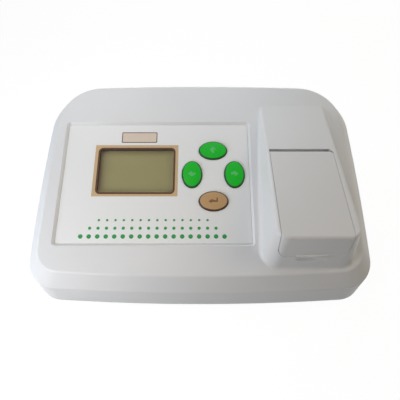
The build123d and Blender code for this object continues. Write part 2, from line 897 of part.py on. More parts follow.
def drilled_board(x, s, width, height, face, posts):
    """Circuit board on the slope, with a hole for the screw in each post."""
    low = face - board_thickness
    board = slope_block(x, s, width, height, low, face)
    for px, ps in posts:
        board -= slope_pillar(px, ps, low - overrun, face + overrun, screw_through)
    return board


def keypad_board():
    """Circuit board under the keys."""
    x = keypad_board_width / 2 - keypad_board_left
    s = -(keypad_board_top + keypad_board_height / 2)
    return drilled_board(x, s, keypad_board_width, keypad_board_height, keypad_face, keypad_posts())


def slope_screws(posts, face):
    """Screws that hold a board on its posts under the control surface."""
    return [on_slope(x, s, face - board_thickness) * screw(small_screw_length) for x, s in posts]


def lcd_frame():
    """Sheet metal frame that holds the display glass on its board."""
    width, height = window_width + 2 * lcd_margin, window_height + 2 * lcd_margin
    outer = slope_block(window_x, window_s, width, height, display_face, lcd_top)
    width, height = width - 2 * lcd_frame_wall, height - 2 * lcd_frame_wall
    low, high = display_face - overrun, lcd_top - lcd_frame_wall
    inner = slope_block(window_x, window_s, width, height, low, high)
    view = slope_block(window_x, window_s, window_width, window_height, low, lcd_top + overrun)
    return outer - inner - view


def lcd_stack(low, high):
    """Plate that fills the metal frame of the display from one height to another."""
    margin = lcd_margin - lcd_frame_wall - lcd_clearance
    return slope_block(window_x, window_s, window_width + 2 * margin, window_height + 2 * margin, low, high)


def lcd_glass():
    """Glass cell of the display."""
    return lcd_stack(lcd_glass_top - lcd_glass_thickness, lcd_glass_top)


def lcd_backlight():
    """Light guide under the glass, resting on the display board."""
    return lcd_stack(display_face, lcd_glass_top - lcd_glass_thickness)


def display_board():
    """Circuit board of the display."""
    width = window_width + 2 * lcd_margin
    return drilled_board(window_x, window_s, width, display_board_height, display_face, display_posts())


# Lid and hinge


def sample_lid():
    """Folded lid: top, front and side skirts in one moulding, with its finger lip."""
    back = hinge_y + hinge_offset
    front = merge_y - housing_front - housing_depth
    lid = housing_volume(0, housing_top_radius) & bay_prism(0, lid_depth, lid_corner_radius, back, front)
    hollow = bay_prism(-lid_wall, lid_depth + housing_depth, bay_corner_radius, back - lid_wall, front)
    lid -= hollow & housing_volume(lid_wall, 0)
    lid -= chamfered_corner(lid_gap)
    lid += finger_lip()
    for side in (-1, 1):
        outer = lid_left if side < 0 else lid_right
        inner = outer - side * (lid_wall + overrun)
        lid -= bar_x(outer + side * overrun, inner, hinge_y, hinge_z, hinge_bore)
    return lid


def hinge_pins():
    """Two stub pins pressed into the housing, on which the lid turns."""
    pins = []
    for side in (-1, 1):
        wall_x = lid_left - lid_gap if side < 0 else lid_right + lid_gap
        inner = wall_x - side * (lid_gap + lid_wall)
        pins.append(bar_x(wall_x + side * hinge_pin_seat, inner, hinge_y, hinge_z, hinge_pin_diameter))
    return pins


def collar_seal():
    """Foam ring on the floor of the sample bay, round the collar of the cell holder."""
    ring = pillar(holder_x, holder_y, bay_floor, bay_floor + seal_thickness, seal_diameter)
    hole = collar_diameter + 2 * seal_clearance
    return ring - pillar(holder_x, holder_y, bay_floor - overrun, collar_top + overrun, hole)


# Sample cell holder, lamp and detector


def holder_screws():
    """Middle of each screw that holds the cell holder on the tray."""
    reach = holder_size / 2 + holder_flange / 2
    return [(holder_x + i * holder_screw_spread_x, holder_y + j * reach) for i in (-1, 1) for j in (-1, 1)]


def cell_holder():
    """Black block with the well for the sample cell and the bores of the light path."""
    half = holder_size / 2
    top = bay_floor - wall - holder_top_gap
    body = tower(holder_x, holder_y, holder_size, holder_size, holder_bottom, top)
    flange_low = tray_floor + holder_boss_height
    flange_top = flange_low + holder_flange_thickness
    body += tower(holder_x, holder_y, holder_size, holder_size + 2 * holder_flange, flange_low, flange_top)
    body += pillar(holder_x, holder_y, top - overrun, collar_top, collar_diameter)
    body -= pillar(holder_x, holder_y, well_bottom, collar_top + overrun, well_diameter)
    left, right = holder_x - half, holder_x + half
    body -= bar_x(left - overrun, right + overrun, holder_y, optical_z, light_bore)
    lens_seat = lens_diameter + 2 * optics_fit
    body -= bar_x(left - overrun, left + lens_edge, holder_y, optical_z, lens_seat)
    filter_seat = filter_diameter + 2 * optics_fit
    body -= bar_x(right - filter_thickness, right + overrun, holder_y, optical_z, filter_seat)
    for x, y in holder_screws():
        body -= pillar(x, y, flange_low - overrun, flange_top + overrun, screw_through)
    for side in (-1, 1):
        face, _, _ = optics_side(side)
        for y, z in optics_screw_places():
            body -= bar_x(face + side * overrun, face - side * optics_screw_depth, y, z, screw_hole)
    return body


def optics_screw_places():
    """Y and Z of the two screws that hold the lamp or the detector."""
    z = optical_z - optics_block / 2 + optics_screw_edge
    return [(holder_y + j * optics_screw_spread / 2, z) for j in (-1, 1)]


def optics_side(side):
    """Faces along X of the block and the board on one side of the cell holder."""
    face = holder_x + side * holder_size / 2
    return face, face + side * optics_block_length, face + side * (optics_block_length + board_thickness)


def optics_holder(side, part_diameter, part_length, rim_diameter, rim_thickness):
    """Block with the seat of the lamp or the detector, whose rim lies against the board."""
    face, outer, _ = optics_side(side)
    inside, outside = face - side * overrun, outer + side * overrun
    half = optics_block / 2
    body = block(face, outer, holder_y - half, holder_y + half, optical_z - half, optical_z + half)
    body -= bar_x(inside, outside, holder_y, optical_z, light_bore)
    fit = 2 * optics_fit
    body -= bar_x(outside, outer - side * part_length, holder_y, optical_z, part_diameter + fit)
    body -= bar_x(outside, outer - side * rim_thickness, holder_y, optical_z, rim_diameter + fit)
    for y, z in optics_screw_places():
        body -= bar_x(inside, outside, y, z, screw_through)
    return body


def lamp_holder():
    """Block that holds the lamp, hollowed in front of the lens."""
    body = optics_holder(-1, led_diameter, led_length, led_rim_diameter, led_rim_thickness)
    face, _, _ = optics_side(-1)
    pocket = lens_diameter + 2 * optics_fit
    return body - bar_x(face - lens_pocket, face + overrun, holder_y, optical_z, pocket)


def detector_holder():
    """Block that holds the detector."""
    return optics_holder(
        1, photodiode_diameter, photodiode_length, photodiode_rim_diameter, photodiode_rim_thickness
    )


def optics_board(side):
    """Small board behind the lamp or the detector."""
    _, inner, outer = optics_side(side)
    y0, y1 = holder_y - optics_board_width / 2, holder_y + optics_board_width / 2
    z0, z1 = optical_z - optics_board_height / 2, optical_z + optics_board_height / 2
    board = block(inner, outer, y0, y1, z0, z1)
    for y, z in optics_screw_places():
        board -= bar_x(inner - side * overrun, outer + side * overrun, y, z, screw_through)
    return board


def optics_screws(side):
    """Two screws through a board and its block into the cell holder."""
    _, _, outer = optics_side(side)
    turn = Rot(0, -90, 0) if side > 0 else Rot(0, 90, 0)
    length = board_thickness + optics_block_length + optics_screw_depth - screw_tip_gap
    return [Pos(outer, y, z) * turn * screw(length) for y, z in optics_screw_places()]


def collimating_lens():
    """Flat and convex lens in its seat in the cell holder, facing the lamp."""
    face, _, _ = optics_side(-1)
    radius = (lens_diameter ** 2 / 4 + lens_bulge ** 2) / (2 * lens_bulge)
    rim = bar_x(face, face + lens_edge, holder_y, optical_z, lens_diameter)
    dome = Pos(face - lens_bulge + radius, holder_y, optical_z) * Sphere(radius)
    reach = bar_x(face - lens_bulge - overrun, face, holder_y, optical_z, lens_diameter)
    return rim + (dome & reach)


def interference_filter():
    """Colour filter in front of the detector."""
    face, _, _ = optics_side(1)
    return bar_x(face - filter_thickness, face, holder_y, optical_z, filter_diameter)


def led_lamp():
    """Lamp with its rim against the board and its dome to the cell."""
    _, outer, _ = optics_side(-1)
    dome = led_diameter / 2
    lamp = bar_x(outer, outer + led_length - dome, holder_y, optical_z, led_diameter)
    lamp += Pos(outer + led_length - dome, holder_y, optical_z) * Sphere(dome)
    return lamp + bar_x(outer, outer + led_rim_thickness, holder_y, optical_z, led_rim_diameter)


def photodiode():
    """Detector can with its rim against the board."""
    _, outer, _ = optics_side(1)
    can = bar_x(outer - photodiode_length, outer, holder_y, optical_z, photodiode_diameter)
    rim = bar_x(outer - photodiode_rim_thickness, outer, holder_y, optical_z, photodiode_rim_diameter)
    return can + rim


def cell_holder_screws():
    """Screws through the flanges of the cell holder into the tray."""
    seat = tray_floor + holder_boss_height + holder_flange_thickness
    return [Pos(x, y, seat) * Rot(180, 0, 0) * screw(small_screw_length) for x, y in holder_screws()]


# Main board


def main_board_posts():
    """Middle of each post that carries the main board."""
    half_x, half_y = main_board_width / 2 - post_inset, main_board_depth / 2 - post_inset
    return [(main_board_x + i * half_x, main_board_y + j * half_y) for i in (-1, 1) for j in (-1, 1)]


def main_board():
    """Main circuit board over the tray."""
    board = tower(main_board_x, main_board_y, main_board_width, main_board_depth, board_z, board_top)
    for x, y in main_board_posts():
        board -= pillar(x, y, board_z - overrun, board_top + overrun, screw_through)
    return board


def main_board_screws():
    """Screws of the main board, from above."""
    turned = Rot(180, 0, 0) * screw(small_screw_length)
    return [Pos(x, y, board_top) * turned for x, y in main_board_posts()]


def microcontroller():
    """Square chip with its dot."""
    top = board_top + chip_height
    chip = tower(chip_x, chip_y, chip_size, chip_size, board_top, top)
    inset = chip_size / 2 - chip_dot_inset
    x, y = chip_x - inset, chip_y + inset
    return chip - pillar(x, y, top - chip_dot_depth, top + overrun, chip_dot_diameter)


def crystal():
    """Metal can of the quartz crystal, in front of the chip."""
    y = chip_y - chip_size / 2 - crystal_width
    can = rounded(crystal_length, crystal_width, crystal_round, board_top, board_top + crystal_height)
    return Pos(chip_x, y, 0) * can


def voltage_regulator():
    """Regulator standing on the main board, with its tab on the heatsink."""
    x0, x1 = regulator_x - regulator_width / 2, regulator_x + regulator_width / 2
    front, tab_front = regulator_y - regulator_thickness, regulator_y - regulator_tab_thickness
    low = board_top + regulator_standoff
    body = block(x0, x1, front, tab_front, low, low + regulator_body_height)
    body += block(x0, x1, tab_front, regulator_y, low, low + regulator_height)
    pin_y = (front + tab_front) / 2
    for i in (-1, 0, 1):
        x = regulator_x + i * regulator_pin_pitch
        body += tower(x, pin_y, regulator_pin, regulator_pin, board_top, low + overrun)
    return body


def heatsink():
    """Finned heatsink behind the regulator."""
    x0, x1 = regulator_x - heatsink_width / 2, regulator_x + heatsink_width / 2
    back, top = regulator_y + heatsink_depth, board_top + heatsink_height
    sink = block(x0, x1, regulator_y, regulator_y + heatsink_base, board_top, top)
    step = (heatsink_width - heatsink_fin) / (heatsink_fins - 1)
    for i in range(heatsink_fins):
        x = x0 + i * step
        sink += block(x, x + heatsink_fin, regulator_y, back, board_top, top)
    return sink


def capacitors():
    """Upright smoothing capacitors in a row."""
    can = pillar(0, 0, 0, capacitor_height, capacitor_diameter)
    can = fillet(can.edges().sort_by(Axis.Z)[-1:], capacitor_round)
    row = range(capacitor_count)
    return [Pos(capacitor_x + i * capacitor_pitch, capacitor_y, board_top) * can for i in row]


def buzzer():
    """Round buzzer with the hole in its lid."""
    top = board_top + buzzer_height
    can = pillar(buzzer_x, buzzer_y, board_top, top, buzzer_diameter)
    return can - pillar(buzzer_x, buzzer_y, top - buzzer_hole_depth, top + overrun, buzzer_hole)


HEADERS = {
    "display": (display_header_x, header_row_y, ribbon_width + 2 * header_side),
    "keypad": (keypad_header_x, header_row_y, ribbon_width + 2 * header_side),
    "lamp": (optics_header_x, lamp_header_y, optics_header_width),
    "detector": (optics_header_x, detector_header_y, optics_header_width),
    "power": (power_header_x, power_header_y, power_header_width),
}


def board_connectors():
    """Plug headers on the main board."""
    top = board_top + header_height
    return [tower(x, y, width, header_depth, board_top, top) for x, y, width in HEADERS.values()]


# Cables


def bent_path(points):
    """Straight runs joined by arcs, each as large as its two runs allow."""
    radii = []
    for a, b, c in zip(points, points[1:], points[2:]):
        first, second = Vector(*b) - Vector(*a), Vector(*c) - Vector(*b)
        turn = radians(first.get_angle(second))
        radii.append(bend_share * min(first.length, second.length) / tan(turn / 2))
    print("bend radii", [round(r, 1) for r in radii])
    return FilletPolyline(*points, radius=radii)


def lead(points):
    """Round cable along a route."""
    path = bent_path(points)
    return sweep(Plane(path @ 0, z_dir=path % 0) * Circle(lead_diameter / 2), path=path)


def ribbon(points):
    """Flat cable, as wide as along X, on a route in a plane square to X."""
    path = bent_path(points)
    start = Plane(path @ 0, x_dir=(1, 0, 0), z_dir=path % 0)
    return sweep(start * Rectangle(ribbon_width, ribbon_thickness), path=path)


def over_header(name, rise, aside=0.0):
    """Place over a plug header."""
    x, y, _ = HEADERS[name]
    return Vector(x + aside, y, board_top + header_height + rise)


def board_ribbon(name, face):
    """Ribbon from the underside of a board on the slope, straight down to its header."""
    x = HEADERS[name][0]
    leave = -slope_plane.z_dir * ribbon_straight
    top = on_slope(x, ribbon_s, face - board_thickness).position
    return ribbon([top, top + leave, over_header(name, ribbon_straight), over_header(name, 0)])


def optics_lead_start(side):
    """Where the leads leave the board of the lamp or of the detector, and the end of their first run."""
    _, _, outer = optics_side(side)
    start = Vector(outer, holder_y + lead_offset, optical_z + lead_rise)
    return start, start + Vector(side * lead_straight, 0, 0)


def lamp_leads():
    """Leads of the lamp, under the keypad board to the main board."""
    start, corner = optics_lead_start(-1)
    return lead([start, corner, Vector(22, -5, 30), over_header("lamp", lead_drop), over_header("lamp", 0)])


def detector_leads():
    """Leads of the detector, round the back of the cell holder to the main board."""
    start, corner = optics_lead_start(1)
    behind = [corner + Vector(0, 17, 1), Vector(102, 12, 34), Vector(80, 19, 34), Vector(48, 27, 33)]
    end = [over_header("detector", lead_drop), over_header("detector", 0)]
    return lead([start, corner, *behind, *end])


def rear_lead(x, depth, aside, middle):
    """Leads from a piece in the rear wall to the power header, by the points in the middle."""
    start = Vector(x, rear_face_y - depth, rear_bay_middle)
    end = [over_header("power", lead_drop, aside), over_header("power", 0, aside)]
    return lead([start, start - Vector(0, lead_straight, 0), *middle, *end])


def power_leads():
    """Leads from the power jack to the main board."""
    return rear_lead(jack_x, jack_length, lead_offset / 2, [Vector(-14, 50, 34)])


def switch_leads():
    """Leads from the power switch to the main board."""
    middle = [Vector(-48, 51, 35), Vector(-26, 45, 34)]
    return rear_lead(switch_x, switch_body_depth, -lead_offset / 2, middle)


# Rear connectors


def rear_block(half_x, half_z, y0, y1):
    """Box along Y about the middle of the power switch."""
    z0, z1 = rear_bay_middle - half_z, rear_bay_middle + half_z
    return block(switch_x - half_x, switch_x + half_x, y0, y1, z0, z1)


def upright_bar(half, diameter):
    """Cylinder along the axis of the rocker, as far as half from its middle."""
    return pillar(switch_x, rocker_y, rear_bay_middle - half, rear_bay_middle + half, diameter)


def power_switch():
    """Housing of the power switch: flange outside the wall, body through it, well for the rocker."""
    body = rear_block(switch_flange_width / 2, switch_flange_height / 2, rear_face_y, switch_face_y)
    body = fillet(body.edges().filter_by(Axis.Y), switch_flange_round)
    half_x, half_z = switch_cut_width / 2 - switch_fit, switch_cut_height / 2 - switch_fit
    body += rear_block(half_x, half_z, rear_face_y - switch_body_depth, switch_face_y)
    half_x, half_z = rocker_radius + rocker_gap, rocker_height / 2 + rocker_gap
    body -= rear_block(half_x, half_z, rocker_y - half_x, switch_face_y + overrun)
    return body - upright_bar(half_z + trunnion_length, trunnion_diameter + 2 * hinge_running_fit)


def power_rocker():
    """Rocker with its two trunnions, at rest in its OFF place."""
    level = sqrt(rocker_radius ** 2 - rocker_crown ** 2)
    rise = 2 * level * tan(radians(2 * rocker_tilt))
    outline = [(level, rocker_crown), (0, rocker_crown), (-2 * level, rocker_crown + rise)]
    outline += [(-2 * level, -rocker_keel), (2 * level, -rocker_keel), (2 * level, rocker_crown)]
    sheet = make_face(Polyline(*outline, close=True)) & Circle(rocker_radius)
    rocker = Pos(switch_x, rocker_y, rear_bay_middle - rocker_height / 2) * extrude(sheet, rocker_height)
    half = rocker_height / 2 + rocker_gap + trunnion_length - trunnion_end_gap
    return rocker + upright_bar(half, trunnion_diameter)


def dc_jack():
    """Threaded power jack with its flange outside the wall."""
    body = bar_y(jack_x, rear_face_y, jack_face_y, rear_bay_middle, jack_flange)
    body += bar_y(jack_x, rear_face_y - jack_length, jack_face_y, rear_bay_middle, jack_barrel)
    inner, outer = jack_face_y - jack_bore_depth, jack_face_y + overrun
    return body - bar_y(jack_x, inner, outer, rear_bay_middle, jack_bore)


def dc_jack_pin():
    """Centre contact of the power jack."""
    inner, outer = jack_face_y - jack_bore_depth, jack_face_y - jack_pin_inset
    return bar_y(jack_x, inner, outer, rear_bay_middle, jack_pin)


def dc_jack_nut():
    """Nut that clamps the jack from inside."""
    nut = extrude(RegularPolygon(jack_nut_size / 2, 6, major_radius=False), jack_nut_thickness)
    nut = Pos(jack_x, rear_face_y - wall, rear_bay_middle) * Rot(90, 0, 0) * nut
    inside = rear_face_y - wall - jack_nut_thickness - overrun
    return nut - bar_y(jack_x, inside, rear_face_y, rear_bay_middle, jack_barrel + 2 * screw_clearance)


def make_nodes():
    """All the pieces by name."""
    nodes = {
        "top_shell": top_shell(),
        "base_tray": base_tray(),
        "rubber_feet": rubber_feet(),
        "case_screws": case_screws(),
        "panel_overlay": panel_overlay(),
        "display_window": display_window(),
        "sample_lid": sample_lid(),
        "hinge_pins": hinge_pins(),
        "collar_seal": collar_seal(),
        "switch_bodies": switch_bodies(),
        "keypad_board": keypad_board(),
        "keypad_screws": slope_screws(keypad_posts(), keypad_face),
        "lcd_frame": lcd_frame(),
        "lcd_glass": lcd_glass(),
        "lcd_backlight": lcd_backlight(),
        "display_board": display_board(),
        "display_screws": slope_screws(display_posts(), display_face),
        "cell_holder": cell_holder(),
        "cell_holder_screws": cell_holder_screws(),
        "lamp_holder": lamp_holder(),
        "led_lamp": led_lamp(),
        "lamp_board": optics_board(-1),
        "lamp_screws": optics_screws(-1),
        "collimating_lens": collimating_lens(),
        "interference_filter": interference_filter(),
        "detector_holder": detector_holder(),
        "photodiode": photodiode(),
        "detector_board": optics_board(1),
        "detector_screws": optics_screws(1),
        "main_board": main_board(),
        "main_board_screws": main_board_screws(),
        "microcontroller": microcontroller(),
        "crystal": crystal(),
        "voltage_regulator": voltage_regulator(),
        "heatsink": heatsink(),
        "capacitors": capacitors(),
        "buzzer": buzzer(),
        "board_connectors": board_connectors(),
        "display_ribbon": board_ribbon("display", display_face),
        "keypad_ribbon": board_ribbon("keypad", keypad_face),
        "lamp_leads": lamp_leads(),
        "detector_leads": detector_leads(),
        "power_leads": power_leads(),
        "switch_leads": switch_leads(),
        "power_switch": power_switch(),
        "power_rocker": power_rocker(),
        "dc_jack": dc_jack(),
        "dc_jack_pin": dc_jack_pin(),
        "dc_jack_nut": dc_jack_nut(),
    }
    for name in KEYS:
        nodes["key_" + name] = key_cap(name)
        nodes["plunger_" + name] = plunger(name)
    return nodes


for node, shape in make_nodes().items():
    solid = Compound(children=shape) if isinstance(shape, list) else shape
    export_step(solid, f"parts/{node}.step")

print("housing top", round(housing_top, 2), "merge line", round(merge_y, 2))
print("hinge", round(hinge_y, 2), round(hinge_z, 2), "rear face", round(rear_face_y, 2))
print("well", holder_x, round(holder_y, 2), round(collar_top, 2), round(well_bottom, 2))
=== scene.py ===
import json
import math

import bmesh
import bpy
from mathutils import Matrix, Vector


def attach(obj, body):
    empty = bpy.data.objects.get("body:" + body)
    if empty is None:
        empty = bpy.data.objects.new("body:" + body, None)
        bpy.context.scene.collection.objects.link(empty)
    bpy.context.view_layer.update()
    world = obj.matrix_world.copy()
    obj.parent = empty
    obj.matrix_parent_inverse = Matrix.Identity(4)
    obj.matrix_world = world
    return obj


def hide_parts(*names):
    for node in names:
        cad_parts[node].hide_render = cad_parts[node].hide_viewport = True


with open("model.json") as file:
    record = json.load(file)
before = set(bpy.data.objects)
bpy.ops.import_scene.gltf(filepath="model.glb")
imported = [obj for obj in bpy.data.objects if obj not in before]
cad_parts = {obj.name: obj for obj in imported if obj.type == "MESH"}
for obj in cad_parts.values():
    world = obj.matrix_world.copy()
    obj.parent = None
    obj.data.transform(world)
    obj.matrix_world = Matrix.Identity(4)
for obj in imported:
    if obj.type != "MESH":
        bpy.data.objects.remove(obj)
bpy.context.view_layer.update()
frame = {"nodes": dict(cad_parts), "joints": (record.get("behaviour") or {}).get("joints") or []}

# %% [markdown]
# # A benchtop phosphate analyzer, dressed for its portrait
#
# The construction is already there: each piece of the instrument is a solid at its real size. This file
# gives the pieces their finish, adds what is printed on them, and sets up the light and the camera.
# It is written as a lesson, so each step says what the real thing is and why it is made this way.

mm = 0.001
nodes = frame["nodes"]

# %% [markdown]
# ## Where things are
#
# The keys travel square to the control surface, so the direction of their joints gives its tilt. From
# that come three directions: right, up the slope, and out of it. The front panel is a flat sheet on that
# surface, and everything printed on it is measured from its upper left corner, as a sign maker does.

# %% Directions of the control surface and corners of the front panel
joints = {joint["name"]: joint for joint in frame["joints"]}
right = Vector((1, 0, 0))
out = -Vector(joints["key_up_press"]["axis"]).normalized()
up_slope = out.cross(right)
slope_turn = Matrix((right, up_slope, out)).transposed()


def reach(node, direction):
    """Least and greatest distance of a solid's points along a direction."""
    along = [v.co.dot(direction) for v in nodes[node].data.vertices]
    return min(along), max(along)


panel_left, panel_right = reach("panel_overlay", right)
panel_low, panel_top = reach("panel_overlay", up_slope)
panel_face = reach("panel_overlay", out)[1]
lid_hinge = Vector(joints["lid_hinge"]["pos_m"])


def on_panel(x, down, height=0.0):
    """Place x mm from the left edge of the panel, down mm from its top edge, and height mm over it."""
    across, along = panel_left + x * mm, panel_top - down * mm
    return right * across + up_slope * along + out * (panel_face + height * mm)


print("panel in mm", round((panel_right - panel_left) / mm, 1), round((panel_top - panel_low) / mm, 1))

# %% [markdown]
# ## A camera where the photographer stood
#
# The sides of the panel meet far behind the instrument, and that fixes the lens and how steeply the
# camera looks down. It is in the middle of the case, in front of the hinge of the lid and above it.

# %% Camera
camera_before_hinge = 179.5 * mm
camera_over_hinge = 209.3 * mm
camera_pitch = 56.56            # degrees below the horizon
lens, sensor = 31.5, 36         # in mm, as the camera's own settings are

camera_data = bpy.data.cameras.new("camera")
camera_data.lens, camera_data.sensor_width = lens, sensor
camera = bpy.data.objects.new("camera", camera_data)
camera.location = (0, lid_hinge.y - camera_before_hinge, lid_hinge.z + camera_over_hinge)
camera.rotation_euler = (math.radians(90 - camera_pitch), 0, 0)
bpy.context.scene.collection.objects.link(camera)
bpy.context.scene.camera = camera
print("camera at mm", [round(x / mm, 1) for x in camera.location], "degrees down", camera_pitch)

# %% [markdown]
# ## Sums in a node tree
#
# Shader maths is easier to read as a formula than as a row of nodes. One class wraps a socket, so that
# a sum on values adds its Math nodes by itself. Another holds a tree and adds any other node to it.

# %% Value and Graph


class Value:
    """One number in a node tree, for use in ordinary sums."""

    def __init__(self, graph, socket):
        self.graph, self.socket = graph, socket

    def __add__(self, other):
        return self.graph.math("ADD", self, other)

    def __sub__(self, other):
        return self.graph.math("SUBTRACT", self, other)

    def __mul__(self, other):
        return self.graph.math("MULTIPLY", self, other)

    def __truediv__(self, other):
        return self.graph.math("DIVIDE", self, other)

    def __rsub__(self, other):
        return self.graph.math("SUBTRACT", other, self)

    def __rtruediv__(self, other):
        return self.graph.math("DIVIDE", other, self)

    __radd__ = __add__
    __rmul__ = __mul__


class Graph:
    """A node tree in the making."""

    def __init__(self, tree):
        self.tree = tree

    def feed(self, socket, value):
        """Sets a socket to a number, or links it to another node's output."""
        value = value.socket if isinstance(value, Value) else value
        if isinstance(value, bpy.types.NodeSocket):
            self.tree.links.new(value, socket)
        else:
            socket.default_value = value

    def node(self, kind, settings=None, inputs=None):
        """Adds a node, sets what it is, and then feeds its sockets by name or number."""
        made = self.tree.nodes.new(kind)
        for name, value in (settings or {}).items():
            setattr(made, name, value)
        for name, value in (inputs or {}).items():
            self.feed(made.inputs[name], value)
        return made

    def value(self, node, output=0):
        """An output of a node as a number for sums."""
        return Value(self, node.outputs[output])

    def math(self, operation, *values):
        """A Math node on one, two or three numbers."""
        return self.value(self.node("ShaderNodeMath", {"operation": operation}, dict(enumerate(values))))

    def smooth(self, value, low, high):
        """From 0 at low to 1 at high, with soft ends."""
        settings = {"interpolation_type": "SMOOTHSTEP"}
        inputs = {"Value": value, "From Min": low, "From Max": high}
        return self.value(self.node("ShaderNodeMapRange", settings, inputs))


print("helpers for node trees", [helper.__name__ for helper in (Value, Graph)])

# %% [markdown]
# ## A finish is a material with a little life
#
# No real surface has one colour and one gloss. Each finish below starts from a flat colour and adds
# what the real one shows: cloudiness, grain, specks or brush marks. Patterns read object coordinates,
# in metres, so that a grain is as fine on a large piece as on a small one.

# %% Finish


class Finish(Graph):
    """A material with its Principled shader."""

    def __init__(self, name, **constants):
        self.material = bpy.data.materials.new(name)
        self.material.use_nodes = True
        super().__init__(self.material.node_tree)
        self.shader = self.tree.nodes["Principled BSDF"]
        self.place = self.node("ShaderNodeTexCoord").outputs["Object"]
        for socket, value in constants.items():
            self.shader.inputs[socket.replace("_", " ")].default_value = value

    def noise(self, size, detail=2.0, stretch=(1, 1, 1)):
        """Cloudy pattern from 0 to 1, with clouds of a size in mm."""
        place = self.place
        if stretch != (1, 1, 1):
            place = self.node("ShaderNodeMapping", inputs={"Vector": place, "Scale": stretch}).outputs[0]
        inputs = {"Vector": place, "Scale": 1 / (size * mm), "Detail": detail}
        return self.value(self.node("ShaderNodeTexNoise", inputs=inputs))

    def mix(self, share, first, second):
        """Colour between two colours."""
        made = self.node("ShaderNodeMix", {"data_type": "RGBA"})
        sockets = (0, 6, 7)     # the factor, and A and B as colours
        for socket, value in zip(sockets, (share, first, second)):
            value = (*value, 1) if isinstance(value, tuple) else value
            self.feed(made.inputs[socket], value)
        return made.outputs[2]  # the result as a colour

    def colour(self, colour):
        """Base colour: a tuple, or a socket that gives a colour."""
        colour = (*colour, 1) if isinstance(colour, tuple) else colour
        self.feed(self.shader.inputs["Base Color"], colour)

    def roughness(self, value):
        """How matt the surface is: a number, or a pattern of them."""
        self.feed(self.shader.inputs["Roughness"], value)

    def bump(self, height, depth):
        """Relief of a depth in mm."""
        inputs = {"Height": height, "Distance": depth * mm, "Strength": 1.0}
        self.feed(self.shader.inputs["Normal"], self.node("ShaderNodeBump", inputs=inputs).outputs[0])


def shade(colour, factor):
    """A colour made lighter or darker."""
    return tuple(channel * factor for channel in colour)


def dress(finish, *names):
    """Gives solids a finish."""
    for name in names:
        nodes[name].material_slots[0].material = finish.material
    print(finish.material.name, "on", len(names), "solids")


print("helpers for finishes", [helper.__name__ for helper in (Finish, shade, dress)])

# %% [markdown]
# ## Moulded plastic
#
# The case is white ABS from a spark-eroded mould, which leaves a fine even grain. The lid comes from
# another mould and is a touch warmer. Black and grey mouldings are the same plastic in another colour,
# so one function makes them all, and only the colour, the gloss and the depth of the grain differ.

# %% Moulded plastics


def moulded(name, colour, roughness=0.45, grain=0.012, cloud=0.02):
    """Plastic with a fine grain, faint clouds in its colour and slightly uneven gloss."""
    finish = Finish(name)
    clouds = finish.noise(40)
    finish.colour(finish.mix(clouds, shade(colour, 1 - cloud), shade(colour, 1 + cloud)))
    finish.roughness(finish.noise(12, 3) * 0.08 + (roughness - 0.04))
    finish.bump(finish.noise(0.35, 3), grain)
    return finish


case_white = moulded("case_white", (0.76, 0.76, 0.755), roughness=0.42)
lid_white = moulded("lid_white", (0.74, 0.735, 0.725), roughness=0.40)
tray_grey = moulded("tray_grey", (0.30, 0.28, 0.25), roughness=0.5)
black_plastic = moulded("black_plastic", (0.028, 0.028, 0.030), roughness=0.38, cloud=0.1)
cream_plastic = moulded("cream_plastic", (0.72, 0.68, 0.55), roughness=0.4)
milky_plastic = moulded("milky_plastic", (0.78, 0.78, 0.74), roughness=0.3, grain=0.004)

dress(case_white, "top_shell")
dress(lid_white, "sample_lid")
dress(tray_grey, "base_tray")
dress(
    black_plastic, "cell_holder", "lamp_holder", "detector_holder", "buzzer", "dc_jack",
    "microcontroller", "power_switch", "power_rocker", "switch_bodies", "plunger_up", "plunger_left",
    "plunger_right", "plunger_enter",
)
dress(cream_plastic, "board_connectors")
dress(milky_plastic, "lcd_backlight")

# %% [markdown]
# ## Rubber and foam
#
# Rubber feet are matt, with a fine dust in the surface. The ring round the sample well is open foam:
# cells of about a millimetre, which a Voronoi pattern pushes down into small pits and paints darker in
# them as painted shade.

# %% Rubber and foam
rubber = Finish("black_rubber", Specular_IOR_Level=0.3)
rubber.colour(rubber.mix(rubber.noise(1.5, 4), (0.018, 0.018, 0.018), (0.05, 0.05, 0.048)))
rubber.roughness(rubber.noise(6) * 0.15 + 0.65)
rubber.bump(rubber.noise(0.5, 4), 0.03)
dress(rubber, "rubber_feet")

foam_cell = 0.9 * mm
foam = Finish("black_foam", Specular_IOR_Level=0.2)
pits = foam.node("ShaderNodeTexVoronoi", inputs={"Vector": foam.place, "Scale": 1 / foam_cell})
cells = foam.value(pits)
# darkest at the bottom of each pit: painted shade
foam.colour(foam.mix(cells, (0.008, 0.008, 0.009), (0.055, 0.055, 0.06)))
foam.roughness(0.95 - foam.noise(4) * 0.1)
foam.bump(cells, 0.3)
dress(foam, "collar_seal")

# %% [markdown]
# ## Metals
#
# Screws and pins are zinc plated and turned, so fine rings of brush marks cross them. A noise that is
# squeezed along one axis gives such marks. Tin plate is smoother, and the heatsink is black anodised.
# The frame of the display is steel under matt black lacquer, so no bright edge shows in the window, and
# its black is also a painted shadow along the top of the window.

# %% Metals


def turned_metal(name, colour, roughness, marks=0.2, squeeze=(1, 1, 12)):
    """Metal with fine marks in one direction."""
    finish = Finish(name, Metallic=1.0)
    lines = finish.noise(0.8, 3, squeeze)
    finish.colour(finish.mix(finish.noise(5, 3), shade(colour, 0.88), colour))
    finish.roughness(lines * marks + roughness)
    finish.bump(lines, 0.006)
    return finish


